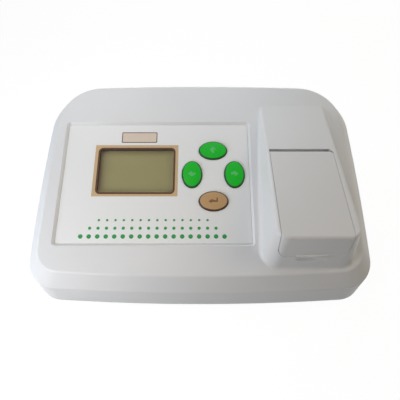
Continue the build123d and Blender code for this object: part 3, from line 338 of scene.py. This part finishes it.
dress(
    turned_metal("zinc_steel", (0.62, 0.62, 0.64), 0.25), "case_screws", "hinge_pins", "keypad_screws",
    "display_screws", "cell_holder_screws", "lamp_screws", "detector_screws", "main_board_screws",
)
dress(
    turned_metal("tin_plate", (0.66, 0.66, 0.65), 0.2, 0.1), "crystal", "dc_jack_nut", "dc_jack_pin",
    "photodiode", "voltage_regulator",
)
dress(turned_metal("black_aluminium", (0.06, 0.06, 0.065), 0.35, 0.1, (12, 1, 1)), "heatsink")
# black of the display frame: in part its lacquer, in part a painted shadow along the top of the window
dress(moulded("black_lacquer", (0.030, 0.022, 0.016), roughness=0.6, grain=0.006), "lcd_frame")

# %% [markdown]
# ## Circuit boards, cables and small parts
#
# A board is green solder mask over copper, and the copper runs show as lighter lines. The joints of a
# brick pattern stand for them. A ribbon cable is a row of wires, so a wave across it gives the grooves
# between them, which it also paints darker as painted shade. The other leads are plain sleeves.

# %% Boards
run_spacing = 9 * mm


def circuit_board(name):
    """Green solder mask with copper runs that shine through it."""
    finish = Finish(name, Coat_Weight=0.3, Coat_Roughness=0.2)
    bricks = finish.node(
        "ShaderNodeTexBrick", {"offset": 0.37},
        {"Vector": finish.place, "Scale": 1 / run_spacing, "Mortar Size": 0.06, "Mortar Smooth": 0.2},
    )
    runs = finish.value(bricks, 1)
    green = finish.mix(finish.noise(9), (0.006, 0.085, 0.030), (0.010, 0.12, 0.045))
    finish.colour(finish.mix(runs, green, (0.03, 0.24, 0.08)))
    finish.roughness(0.38 - runs * 0.1)
    finish.bump(runs, 0.05)
    return finish


dress(
    circuit_board("green_board"), "main_board", "keypad_board", "display_board", "lamp_board",
    "detector_board",
)

# %% Cables and sleeves


def sleeve(name, colour, roughness=0.4):
    """Soft plastic of a lead or a shrunk sleeve."""
    finish = Finish(name, Coat_Weight=0.15)
    finish.colour(finish.mix(finish.noise(6, 3), shade(colour, 0.85), colour))
    finish.roughness(finish.noise(3) * 0.12 + roughness)
    finish.bump(finish.noise(0.8), 0.01)
    return finish


wire_pitch = 1.27 * mm
wave_turns = 20 / (2 * math.pi)  # waves of the texture in a metre, at a scale of 1
ribbon_grey = Finish("grey_ribbon")
wave = {"Vector": ribbon_grey.place, "Scale": 1 / (wire_pitch * wave_turns)}
wires = ribbon_grey.value(ribbon_grey.node("ShaderNodeTexWave", {"bands_direction": "X"}, wave))
# the darker grey falls in the grooves between the wires: painted shade
ribbon_grey.colour(ribbon_grey.mix(wires, (0.22, 0.22, 0.23), (0.48, 0.48, 0.5)))
ribbon_grey.roughness(ribbon_grey.noise(3) * 0.1 + 0.45)
ribbon_grey.bump(wires, 0.25)
dress(ribbon_grey, "display_ribbon", "keypad_ribbon")
dress(sleeve("red_lead", (0.42, 0.02, 0.02)), "lamp_leads", "power_leads")
dress(sleeve("black_lead", (0.025, 0.025, 0.028)), "detector_leads", "switch_leads")
dress(sleeve("blue_sleeve", (0.012, 0.04, 0.17), 0.3), "capacitors")

# %% [markdown]
# ## Glass and clear plastic
#
# The display window is a clear acrylic plate. Real refraction would darken what is under it, so the
# plate is thin to light: a low alpha lets the display show, and the smooth face keeps a faint shine.
# Fine wipe marks change only its gloss. The lens, the lamp and the filter inside are made the same way.

# %% Clear pieces


def clear(name, colour, alpha, roughness=0.05, **constants):
    """Clear solid that light passes, with fine wipe marks in its gloss."""
    finish = Finish(name, Alpha=alpha, IOR=1.49, **constants)
    finish.colour(finish.mix(finish.noise(20), shade(colour, 0.96), colour))
    finish.roughness(finish.noise(1.2, 5, (1, 8, 8)) * 0.06 + roughness)
    return finish


dress(clear("window_acrylic", (0.30, 0.28, 0.22), 0.10, Specular_IOR_Level=0.15), "display_window")
dress(clear("lens_glass", (0.75, 0.80, 0.82), 0.35, 0.02), "collimating_lens")
dress(clear("lamp_resin", (0.80, 0.80, 0.78), 0.55, 0.05), "led_lamp")
dress(clear("filter_glass", (0.25, 0.02, 0.05), 0.85, 0.03), "interference_filter")

# %% [markdown]
# ## The display
#
# A reflective liquid crystal cell that is switched off is a soft olive grey. It lies nearly 4 mm under
# the face of the panel, so the edge of the window throws a broad shadow on it. The glass itself is
# nearly even, with a faint cloud from the film on its back. Along its left edge the colour is a painted
# shadow of the window's edge: browner and darker.

# %% Display glass
painted_shadow_width = 11 * mm
display = Finish("display_glass", Specular_IOR_Level=0.3)
film = display.noise(25, 1)
glass_left = reach("lcd_glass", right)[0]
along = display.node("ShaderNodeVectorMath", {"operation": "DOT_PRODUCT"}, {0: display.place, 1: right})
past_painted_shadow = display.smooth(display.value(along, 1), glass_left, glass_left + painted_shadow_width)
olive = display.mix(film, (0.38, 0.340, 0.14), (0.42, 0.380, 0.165))
# the first colour is a painted shadow of the window's edge, over the left of the glass
display.colour(display.mix(past_painted_shadow, (0.33, 0.265, 0.120), olive))
display.roughness(display.noise(0.6, 2) * 0.1 + 0.35)
dress(display, "lcd_glass")

# %% [markdown]
# ## The front panel
#
# The panel is a sheet of polycarbonate with a velvet face, and on such a sheet the print is usually on
# the back, where nothing wears it off. The sheet is a solid of the construction. The print is made here
# as thin layers of ink on its face, so that it is sharp at any distance and also shows in the mesh.

# %% Panel sheet
sheet_finish = Finish("panel_sheet")
sheet_finish.colour(
    sheet_finish.mix(sheet_finish.noise(50, 1), (0.825, 0.83, 0.81), (0.85, 0.855, 0.835))
)
sheet_finish.roughness(sheet_finish.noise(10) * 0.06 + 0.40)
sheet_finish.bump(sheet_finish.noise(0.25, 2), 0.006)
dress(sheet_finish, "panel_overlay")

# %% Inks


def ink(name, colour, roughness=0.45):
    """Screen printed ink: nearly even, with the faint mesh of the screen in it."""
    finish = Finish(name, Specular_IOR_Level=0.3)
    finish.colour(finish.mix(finish.noise(1.2, 3), shade(colour, 0.94), shade(colour, 1.04)))
    finish.roughness(finish.noise(2) * 0.08 + roughness)
    finish.bump(finish.noise(0.3), 0.003)
    return finish


tan_ink = ink("tan_ink", (0.61, 0.43, 0.24))
brown_ink = ink("brown_ink", (0.09, 0.035, 0.015))
cream_ink = ink("cream_ink", (0.74, 0.62, 0.50))
green_ink = ink("green_ink", (0.026, 0.31, 0.078))
print("inks", [made.material.name for made in (tan_ink, brown_ink, cream_ink, green_ink)])

# %% [markdown]
# ## Printed frames
#
# A frame is two rounded rectangles, one in the other, with a strip of faces between them. Both have the
# same number of points, so the strip is a simple loop. The ink has a thickness, so each outline is there
# twice, at the foot and at the face of the layer, with a low wall between the two.

# %% Rounded outlines
corner_steps = 8


def rounded_outline(left, top, width, height, radius):
    """Points of a rounded rectangle on the panel in mm, from its upper left corner."""
    points = []
    middles = (
        (left + width - radius, top + radius), (left + width - radius, top + height - radius),
        (left + radius, top + height - radius), (left + radius, top + radius),
    )
    for quarter, (x, y) in enumerate(middles):
        for step in range(corner_steps + 1):
            angle = math.radians(90 * (quarter - 1 + step / corner_steps))
            points.append((x + radius * math.cos(angle), y + radius * math.sin(angle)))
    return points


print("points of a rounded outline", len(rounded_outline(0, 0, 4, 2, 1)))

# %% Pieces and layers of ink
layer = 0.03                    # mm of ink


def add_piece(name, mesh, body, slot):
    """Adds a mesh to the object as a piece that rides on a body."""
    piece = bpy.data.objects.new(name, mesh)
    bpy.context.scene.collection.objects.link(piece)
    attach(piece, body)
    print(name, "faces", len(mesh.polygons))
    return piece


def piece_from(name, work, finish, body, slot):
    """Turns a bmesh into a piece of the object, with its normals outward."""
    bmesh.ops.recalc_face_normals(work, faces=work.faces)
    mesh = bpy.data.meshes.new(name)
    work.to_mesh(mesh)
    work.free()
    mesh.materials.append(finish.material)
    add_piece(name, mesh, body, slot)


def ink_layer(name, outline, hole, low, finish):
    """Ink inside an outline, or between it and a hole, from a height over the panel up."""
    work = bmesh.new()
    rings = []
    for height in (low, low + layer):
        for points in (outline, hole) if hole else (outline,):
            rings.append([work.verts.new(on_panel(x, y, height)) for x, y in points])
    count = len(outline)
    pairs = ((0, 1), (2, 3), (0, 2), (1, 3)) if hole else ((0, 1),)
    for first, second in pairs:
        for i in range(count):
            j = (i + 1) % count
            work.faces.new((rings[first][i], rings[first][j], rings[second][j], rings[second][i]))
    if not hole:
        work.faces.new(rings[0])
        work.faces.new(rings[1])
    piece_from(name, work, finish, "case", "panel_print")


print("helpers for pieces", [helper.__name__ for helper in (add_piece, piece_from, ink_layer)])

# %% Frames of the display and of the title
# Each outline is given by its left, top, width, height and radius in mm. The brown line lies on the tan
# frame and reaches over the edge of the window, so that no bright rim shows there.
window = rounded_outline(27.6, 22.4, 61.4, 38.6, 2.8)
window_line = rounded_outline(26.5, 21.3, 63.6, 40.8, 3.8)
window_edge = rounded_outline(28.0, 22.8, 60.6, 37.8, 2.5)
ink_layer("print_display_frame", rounded_outline(23.9, 18.9, 68.5, 45.1, 0.4), window, 0, tan_ink)
ink_layer("print_display_line", window_line, window_edge, layer, brown_ink)

title = rounded_outline(44.9, 6.9, 29.6, 9.8, 0.8)
title_inside = rounded_outline(45.6, 7.6, 28.2, 8.4, 0.4)
ink_layer("print_title_field", title_inside, None, 0, cream_ink)
ink_layer("print_title_frame", title, title_inside, 0, brown_ink)

# %% [markdown]
# ## Three rows of dots
#
# The rows have one pitch, and each is shorter and finer than the one below it. That is a rule, so the
# dots are a Geometry Nodes tree: a line of points with a small disc on each. The tree has an input for
# each size, and the same tree makes all three rows.

# %% A Geometry Nodes tree and the piece that it makes


class Grower(Graph):
    """A Geometry Nodes tree with named inputs."""

    def __init__(self, name, **inputs):
        super().__init__(bpy.data.node_groups.new(name, "GeometryNodeTree"))
        self.names = {}
        for label, kind in inputs.items():
            kind = "NodeSocket" + kind
            socket = self.tree.interface.new_socket(label, in_out="INPUT", socket_type=kind)
            self.names[label] = socket.identifier
        self.tree.interface.new_socket("Geometry", in_out="OUTPUT", socket_type="NodeSocketGeometry")
        self.entry = self.node("NodeGroupInput")

    def given(self, label):
        """What the tree is given under a name."""
        return self.entry.outputs[label]

    def number(self, label):
        """The same, for use in sums."""
        return Value(self, self.given(label))

    def close(self, geometry):
        """Makes instances real, sets the material, and ends the tree."""
        real = self.node("GeometryNodeRealizeInstances", inputs={0: geometry}).outputs[0]
        inputs = {"Geometry": real, "Material": self.given("Material")}
        dressed = self.node("GeometryNodeSetMaterial", inputs=inputs).outputs[0]
        self.feed(self.node("NodeGroupOutput").inputs[0], dressed)


def grow(name, grower, finish, body, slot, **values):
    """Runs a tree once and keeps its result as a plain mesh."""
    holder = bpy.data.objects.new(name + "_seed", bpy.data.meshes.new(name + "_seed"))
    bpy.context.scene.collection.objects.link(holder)
    modifier = holder.modifiers.new("grow", "NODES")
    modifier.node_group = grower.tree
    for label, value in dict(values, Material=finish.material).items():
        modifier[grower.names[label]] = value
    evaluated = holder.evaluated_get(bpy.context.evaluated_depsgraph_get())
    mesh = bpy.data.meshes.new_from_object(evaluated)
    mesh.name = name
    bpy.data.objects.remove(holder)
    return add_piece(name, mesh, body, slot)


print("helpers for grown pieces", [helper.__name__ for helper in (Grower, grow)])

# %% Dots
dot_sides = 24
dot_row = Grower(
    "dot_row", Count="Int", Diameter="Float", Step="Vector", Start="Vector", Tilt="Vector",
    Thickness="Float", Material="Material",
)
line = dot_row.node("GeometryNodeMeshLine", inputs={
    "Count": dot_row.given("Count"), "Start Location": dot_row.given("Start"),
    "Offset": dot_row.given("Step"),
})
disc = dot_row.node("GeometryNodeMeshCylinder", inputs={
    "Vertices": dot_sides, "Radius": dot_row.number("Diameter") / 2, "Depth": dot_row.given("Thickness"),
})
dots = dot_row.node("GeometryNodeInstanceOnPoints", inputs={
    "Points": line.outputs[0], "Instance": disc.outputs[0], "Rotation": dot_row.given("Tilt"),
})
dot_row.close(dots.outputs[0])

dot_pitch = 6.48                # mm
tilt = slope_turn.to_euler()
dot_rows = (                    # name, count, place of the first dot and diameter in mm
    ("large", 18, 18.9, 96.4, 3.5),
    ("medium", 16, 25.4, 89.9, 2.5),
    ("small", 14, 31.9, 83.5, 1.9),
)
for size, count, first, down, diameter in dot_rows:
    grow(
        "print_dots_" + size, dot_row, green_ink, "case", "panel_print", Count=count,
        Diameter=diameter * mm, Step=right * dot_pitch * mm, Start=on_panel(first, down, layer / 2),
        Tilt=tilt, Thickness=layer * mm,
    )

# %% [markdown]
# ## Keys
#
# Each key is an oval button with a steep rim and a slightly crowned face. That is a rule too, so one
# tree makes all four: it takes a plain cylinder and moves its points. Up the wall nothing changes, then
# the rim leans in on a quarter of an ellipse, and the face rises to its middle. Below, a flange holds
# the key under the shell and a stem stands on the switch, as on the solid that the piece stands for.

# %% Key tree
key = Grower(
    "key", Half_x="Float", Half_y="Float", Bottom="Float", Shoulder="Float", Rim="Float",
    Crown="Float", Inset="Float", Flange="Float", Flange_top="Float", Stem="Float",
    Stem_bottom="Float", Middle="Vector", Tilt="Vector", Material="Material",
)
key_sides = 72
cap_sides, cap_rings = 16, 12   # rows of points up the wall and rim, and across the face
wall_share = 0.5                # of the cylinder's height, below the rim
face_starts = 0.999             # share of the height from which a point is on the face


def moved(grower, geometry, x, y, z):
    """Geometry with its points at new places."""
    place = grower.node("ShaderNodeCombineXYZ", inputs={0: x, 1: y, 2: z}).outputs[0]
    inputs = {"Geometry": geometry, "Position": place}
    return grower.node("GeometryNodeSetPosition", inputs=inputs).outputs[0]


def unit_cylinder(grower, sides, rings):
    """Cylinder of radius 1 and height 1, its points as x, y and z, with z from 0 to 1."""
    made = grower.node("GeometryNodeMeshCylinder", inputs={
        "Vertices": key_sides, "Side Segments": sides, "Fill Segments": rings,
        "Radius": 1.0, "Depth": 1.0,
    })
    place = grower.node("GeometryNodeInputPosition").outputs[0]
    parts = grower.node("ShaderNodeSeparateXYZ", inputs={0: place})
    x, y, z = (grower.value(parts, i) for i in range(3))
    return made.outputs[0], x, y, z + 0.5


body, x, y, z = unit_cylinder(key, cap_sides, cap_rings)
climb = key.math("MINIMUM", z / wall_share, 1)
lean = key.math("MAXIMUM", (z - wall_share) / (1 - wall_share), 0) * (math.pi / 2)
inset = (1 - key.math("COSINE", lean)) * key.number("Inset")
shoulder = key.number("Shoulder")
rim = shoulder + (key.number("Rim") - shoulder) * key.math("SINE", lean)
on_face = key.math("GREATER_THAN", z, face_starts)
crown = on_face * key.number("Crown") * (1 - (x * x + y * y))
bottom = key.number("Bottom")
thick = key.number("Flange_top") - bottom
inside = bottom + thick / 2     # where wall and stem end, within the flange
height = inside + (rim - inside) * climb + crown
half_x, half_y = key.number("Half_x"), key.number("Half_y")
cap = moved(key, body, x * (half_x - inset), y * (half_y - inset), height)

body, x, y, z = unit_cylinder(key, 1, 1)
wider = key.number("Flange")
flange = moved(key, body, x * (half_x + wider), y * (half_y + wider), bottom + z * thick)

body, x, y, z = unit_cylinder(key, 1, 1)
foot, radius = key.number("Stem_bottom"), key.number("Stem")
stem = moved(key, body, x * radius, y * radius, foot + z * (inside - foot))

joined = key.node("GeometryNodeJoinGeometry")
for part in (cap, flange, stem):
    key.feed(joined.inputs[0], part)
placed = key.node("GeometryNodeTransform", inputs={
    "Geometry": joined.outputs[0], "Translation": key.given("Middle"), "Rotation": key.given("Tilt"),
})
key.close(placed.outputs[0])
print("key tree", len(key.tree.nodes), "nodes")

# %% [markdown]
# The face of a key is glossy and bright, and its steep rim is painted darker: a darker tone of the same
# plastic together with painted shade of the rim. The direction of the surface tells the two apart: on
# the face it is nearly that of the panel.

# %% Key plastics
rim_ends, face_begins = 0.90, 0.985     # cosines of the angle to the panel's direction


def key_plastic(name, face, rim_tone_and_painted_shade):
    """Glossy plastic, painted darker where the surface turns away from the face of the key: a darker
    tone and painted shade.
    """
    finish = Finish(name, Specular_IOR_Level=0.25)
    normal = finish.node("ShaderNodeTexCoord").outputs["Normal"]
    facing = finish.node("ShaderNodeVectorMath", {"operation": "DOT_PRODUCT"}, {0: normal, 1: out})
    on_top = finish.smooth(finish.value(facing, 1), rim_ends, face_begins)
    cloudy = finish.mix(finish.noise(4, 3), shade(face, 0.93), shade(face, 1.05))
    finish.colour(finish.mix(on_top, rim_tone_and_painted_shade, cloudy))
    finish.roughness(finish.noise(3) * 0.1 + 0.28)
    finish.bump(finish.noise(0.6), 0.004)
    return finish


# the second colour of each is the rim: a darker tone of the plastic with painted shade
green_key = key_plastic("green_key", (0.003, 0.50, 0.016), (0.006, 0.075, 0.016))
tan_key = key_plastic("tan_key", (0.53, 0.33, 0.155), (0.075, 0.036, 0.018))
print("key plastics", [made.material.name for made in (green_key, tan_key)])

# %% Four keys
key_crown = 0.35 * mm
key_inset = 1.7 * mm
key_flange = 1.1 * mm
key_flange_thickness = 1.0 * mm
key_stem_radius = 2.0 * mm
key_stem_length = 2.0 * mm
key_wall = 0.3 * mm             # straight wall over the panel
keys = {}                       # middle, half sizes and height of each face, for its sign
for name in ("key_up", "key_left", "key_right", "key_enter"):
    left_end, right_end = reach(name, right)
    low_end, high_end = reach(name, up_slope)
    foot_end, top_end = reach(name, out)
    half_x, half_y = (right_end - left_end) / 2 - key_flange, (high_end - low_end) / 2 - key_flange
    middle = right * (left_end + right_end) / 2 + up_slope * (low_end + high_end) / 2
    bottom = foot_end + key_stem_length
    finish, slot = (tan_key, "tan_key") if name == "key_enter" else (green_key, "green_key")
    piece = grow(
        "cap_" + name, key, finish, name, slot, Half_x=half_x, Half_y=half_y, Bottom=bottom,
        Shoulder=panel_face + key_wall, Rim=top_end - key_crown, Crown=key_crown, Inset=key_inset,
        Flange=key_flange, Flange_top=bottom + key_flange_thickness, Stem=key_stem_radius,
        Stem_bottom=foot_end, Middle=middle, Tilt=tilt,
    )
    for polygon in piece.data.polygons:
        polygon.use_smooth = True
    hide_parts(name)
    keys[name] = (middle, half_x - key_inset, half_y - key_inset, top_end)

# %% [markdown]
# ## Signs on the keys
#
# The signs are plain arrows: three to move, and a bent one to enter. Each is an outline in the plane of
# the key, cut into small triangles and lowered onto the crown, so that it follows the curve like ink.

# %% Arrow outlines and their placing
sign_cuts = 3                   # new points on each edge of a triangle


def arrow(half_shaft, half_head, tail, neck, tip):
    """Arrow that points to +Y, as one outline round shaft and head."""
    return [
        (-half_shaft, tail), (half_shaft, tail), (half_shaft, neck), (half_head, neck), (0, tip),
        (-half_head, neck), (-half_shaft, neck),
    ]


def turned_by(outline, degrees):
    """Outline turned about the middle of the key."""
    c, s = math.cos(math.radians(degrees)), math.sin(math.radians(degrees))
    return [(x * c - y * s, x * s + y * c) for x, y in outline]


def sign(name, outline, finish, slot):
    """Ink in the shape of an outline in mm, on the crown of a key."""
    middle, half_x, half_y, top = keys[name]
    work = bmesh.new()
    work.faces.new([work.verts.new((x * mm, y * mm, 0)) for x, y in outline])
    bmesh.ops.triangulate(work, faces=work.faces)
    bmesh.ops.subdivide_edges(work, edges=work.edges, cuts=sign_cuts, use_grid_fill=True)
    made = bmesh.ops.extrude_face_region(work, geom=work.faces[:])
    raised = {v for v in made["geom"] if isinstance(v, bmesh.types.BMVert)}
    for v in work.verts:
        share = (v.co.x / half_x) ** 2 + (v.co.y / half_y) ** 2
        height = top - key_crown * share + (layer * mm if v in raised else 0)
        v.co = middle + right * v.co.x + up_slope * v.co.y + out * height
    piece_from("sign_" + name, work, finish, name, slot)


print("helpers for signs", [helper.__name__ for helper in (arrow, turned_by, sign)])

# %% Signs
pale_green_ink = ink("pale_green_ink", (0.10, 0.52, 0.14))
brown_sign_ink = ink("brown_sign_ink", (0.22, 0.11, 0.05))
straight = arrow(0.8, 2.5, -2.8, 0.2, 3.2)
bent = [
    (3.4, 2.4), (2.2, 2.4), (2.2, 0.0), (-1.6, 0.0), (-1.6, 1.2), (-4.2, -0.6), (-1.6, -2.4),
    (-1.6, -1.2), (3.4, -1.2),
]
sign("key_up", straight, pale_green_ink, "green_key")
sign("key_left", turned_by(straight, 90), pale_green_ink, "green_key")
sign("key_right", turned_by(straight, -90), pale_green_ink, "green_key")
sign("key_enter", bent, brown_sign_ink, "tan_key")

# %% [markdown]
# ## Floor and light
#
# The photograph is cut out on white, so the floor and the sky are white to the camera. Most of what the
# camera sees of the floor is its own glow, and only the rest takes a faint shadow. To the light of the
# lamps the floor is grey, so that it throws no more light up at the walls than a bench would.

# %% Floor
white = 0.95                    # what the floor's own glow gives, before the lamps add to it
floor_share = 0.9               # how much of the white is glow
floor_seen = (0.90, 0.90, 0.90)
floor_bounce = (0.45, 0.45, 0.45)
floor_half = 6.0                # metres from the middle to an edge
floor_low = -0.1 * mm           # just under the feet, so that the two faces don't meet


def white_to_camera(graph, strength):
    """How far a ray is one that should see white, and the white glow that it sees."""
    path = graph.node("ShaderNodeLightPath")
    seen = graph.math("MAXIMUM", graph.value(path, "Is Camera Ray"), graph.value(path, "Is Glossy Ray"))
    seen = graph.math("MAXIMUM", seen, graph.value(path, "Is Transmission Ray"))
    return seen, graph.node("ShaderNodeEmission", inputs={"Color": (1, 1, 1, 1), "Strength": strength})


floor_finish = Finish("floor_white", Roughness=0.9, Specular_IOR_Level=0.0)
seen, glow = white_to_camera(floor_finish, white / floor_share)
floor_finish.colour(floor_finish.mix(seen, floor_bounce, floor_seen))
floor_mix = floor_finish.node("ShaderNodeMixShader", inputs={
    0: seen * floor_share, 1: floor_finish.shader.outputs[0], 2: glow.outputs[0],
})
output = floor_finish.tree.nodes["Material Output"]
floor_finish.feed(output.inputs[0], floor_mix.outputs[0])
floor_mesh = bpy.data.meshes.new("floor")
corners = [(x * floor_half, y * floor_half, floor_low) for x, y in ((-1, -1), (1, -1), (1, 1), (-1, 1))]
floor_mesh.from_pydata(corners, [], [(0, 1, 2, 3)])
floor_mesh.materials.append(floor_finish.material)
floor = bpy.data.objects.new("floor", floor_mesh)
bpy.context.scene.collection.objects.link(floor)
print("floor", 2 * floor_half, "m wide")

# %% World
sky_colour, sky_strength = (0.95, 0.97, 1.0, 1), 0.02

world = bpy.data.worlds.new("studio")
world.use_nodes = True
bpy.context.scene.world = world
sky = Graph(world.node_tree)
background = world.node_tree.nodes["Background"]
background.inputs["Color"].default_value = sky_colour
background.inputs["Strength"].default_value = sky_strength
seen, glow = white_to_camera(sky, white)
sky_mix = sky.node("ShaderNodeMixShader", inputs={
    0: seen, 1: background.outputs[0], 2: glow.outputs[0],
})
sky.feed(world.node_tree.nodes["World Output"].inputs[0], sky_mix.outputs[0])
print("world", world.name, "strength", sky_strength)

# %% [markdown]
# The right side of the instrument is in warm shade and its left is bluish and bright, which means a
# window close by on the left. Two low lamps near the left end stand for it. Three weak ones above
# spread the light over the top, and a warm one far off on the right fills the shade. One behind lights
# the rear wall, for those who walk round the instrument. Their strengths are such that the plastic comes
# out at the tones of the photograph. The camera doesn't see the lamps.

# %% Lamps
aim = Vector((0, 0, 0.03))      # a point within the case
lamps = (                       # name, place and width in metres, watts and colour
    ("window_low", (-0.22, -0.24, 0.15), 0.14, 0.48, (0.96, 0.97, 1.0)),
    ("window_left", (-0.34, -0.06, 0.15), 0.14, 0.26, (0.70, 0.85, 1.0)),
    ("over_left", (-0.14, 0.14, 0.28), 0.14, 0.16, (0.95, 0.97, 1.0)),
    ("over_back", (0.04, 0.14, 0.26), 0.14, 0.10, (0.66, 0.82, 1.0)),
    ("over_front", (-0.10, -0.06, 0.42), 0.14, 0.18, (1.0, 0.82, 0.74)),
    ("fill_right", (0.69, 0.0, 0.61), 0.5, 2.1, (1.0, 0.91, 0.74)),
    ("fill_behind", (0.0, 0.95, 0.22), 0.5, 3.2, (1.0, 0.99, 0.97)),
)
for name, place, width, power, colour in lamps:
    light = bpy.data.lights.new(name, "AREA")
    light.shape, light.size, light.energy, light.color = "SQUARE", width, power, colour
    lamp = bpy.data.objects.new(name, light)
    lamp.location = place
    lamp.rotation_euler = (aim - Vector(place)).to_track_quat("-Z", "Y").to_euler()
    lamp.visible_camera = False
    bpy.context.scene.collection.objects.link(lamp)
    print(name, "at mm", [round(x / mm) for x in place], "watts", power)

# %% Colour management
bpy.context.scene.view_settings.view_transform = "Standard"
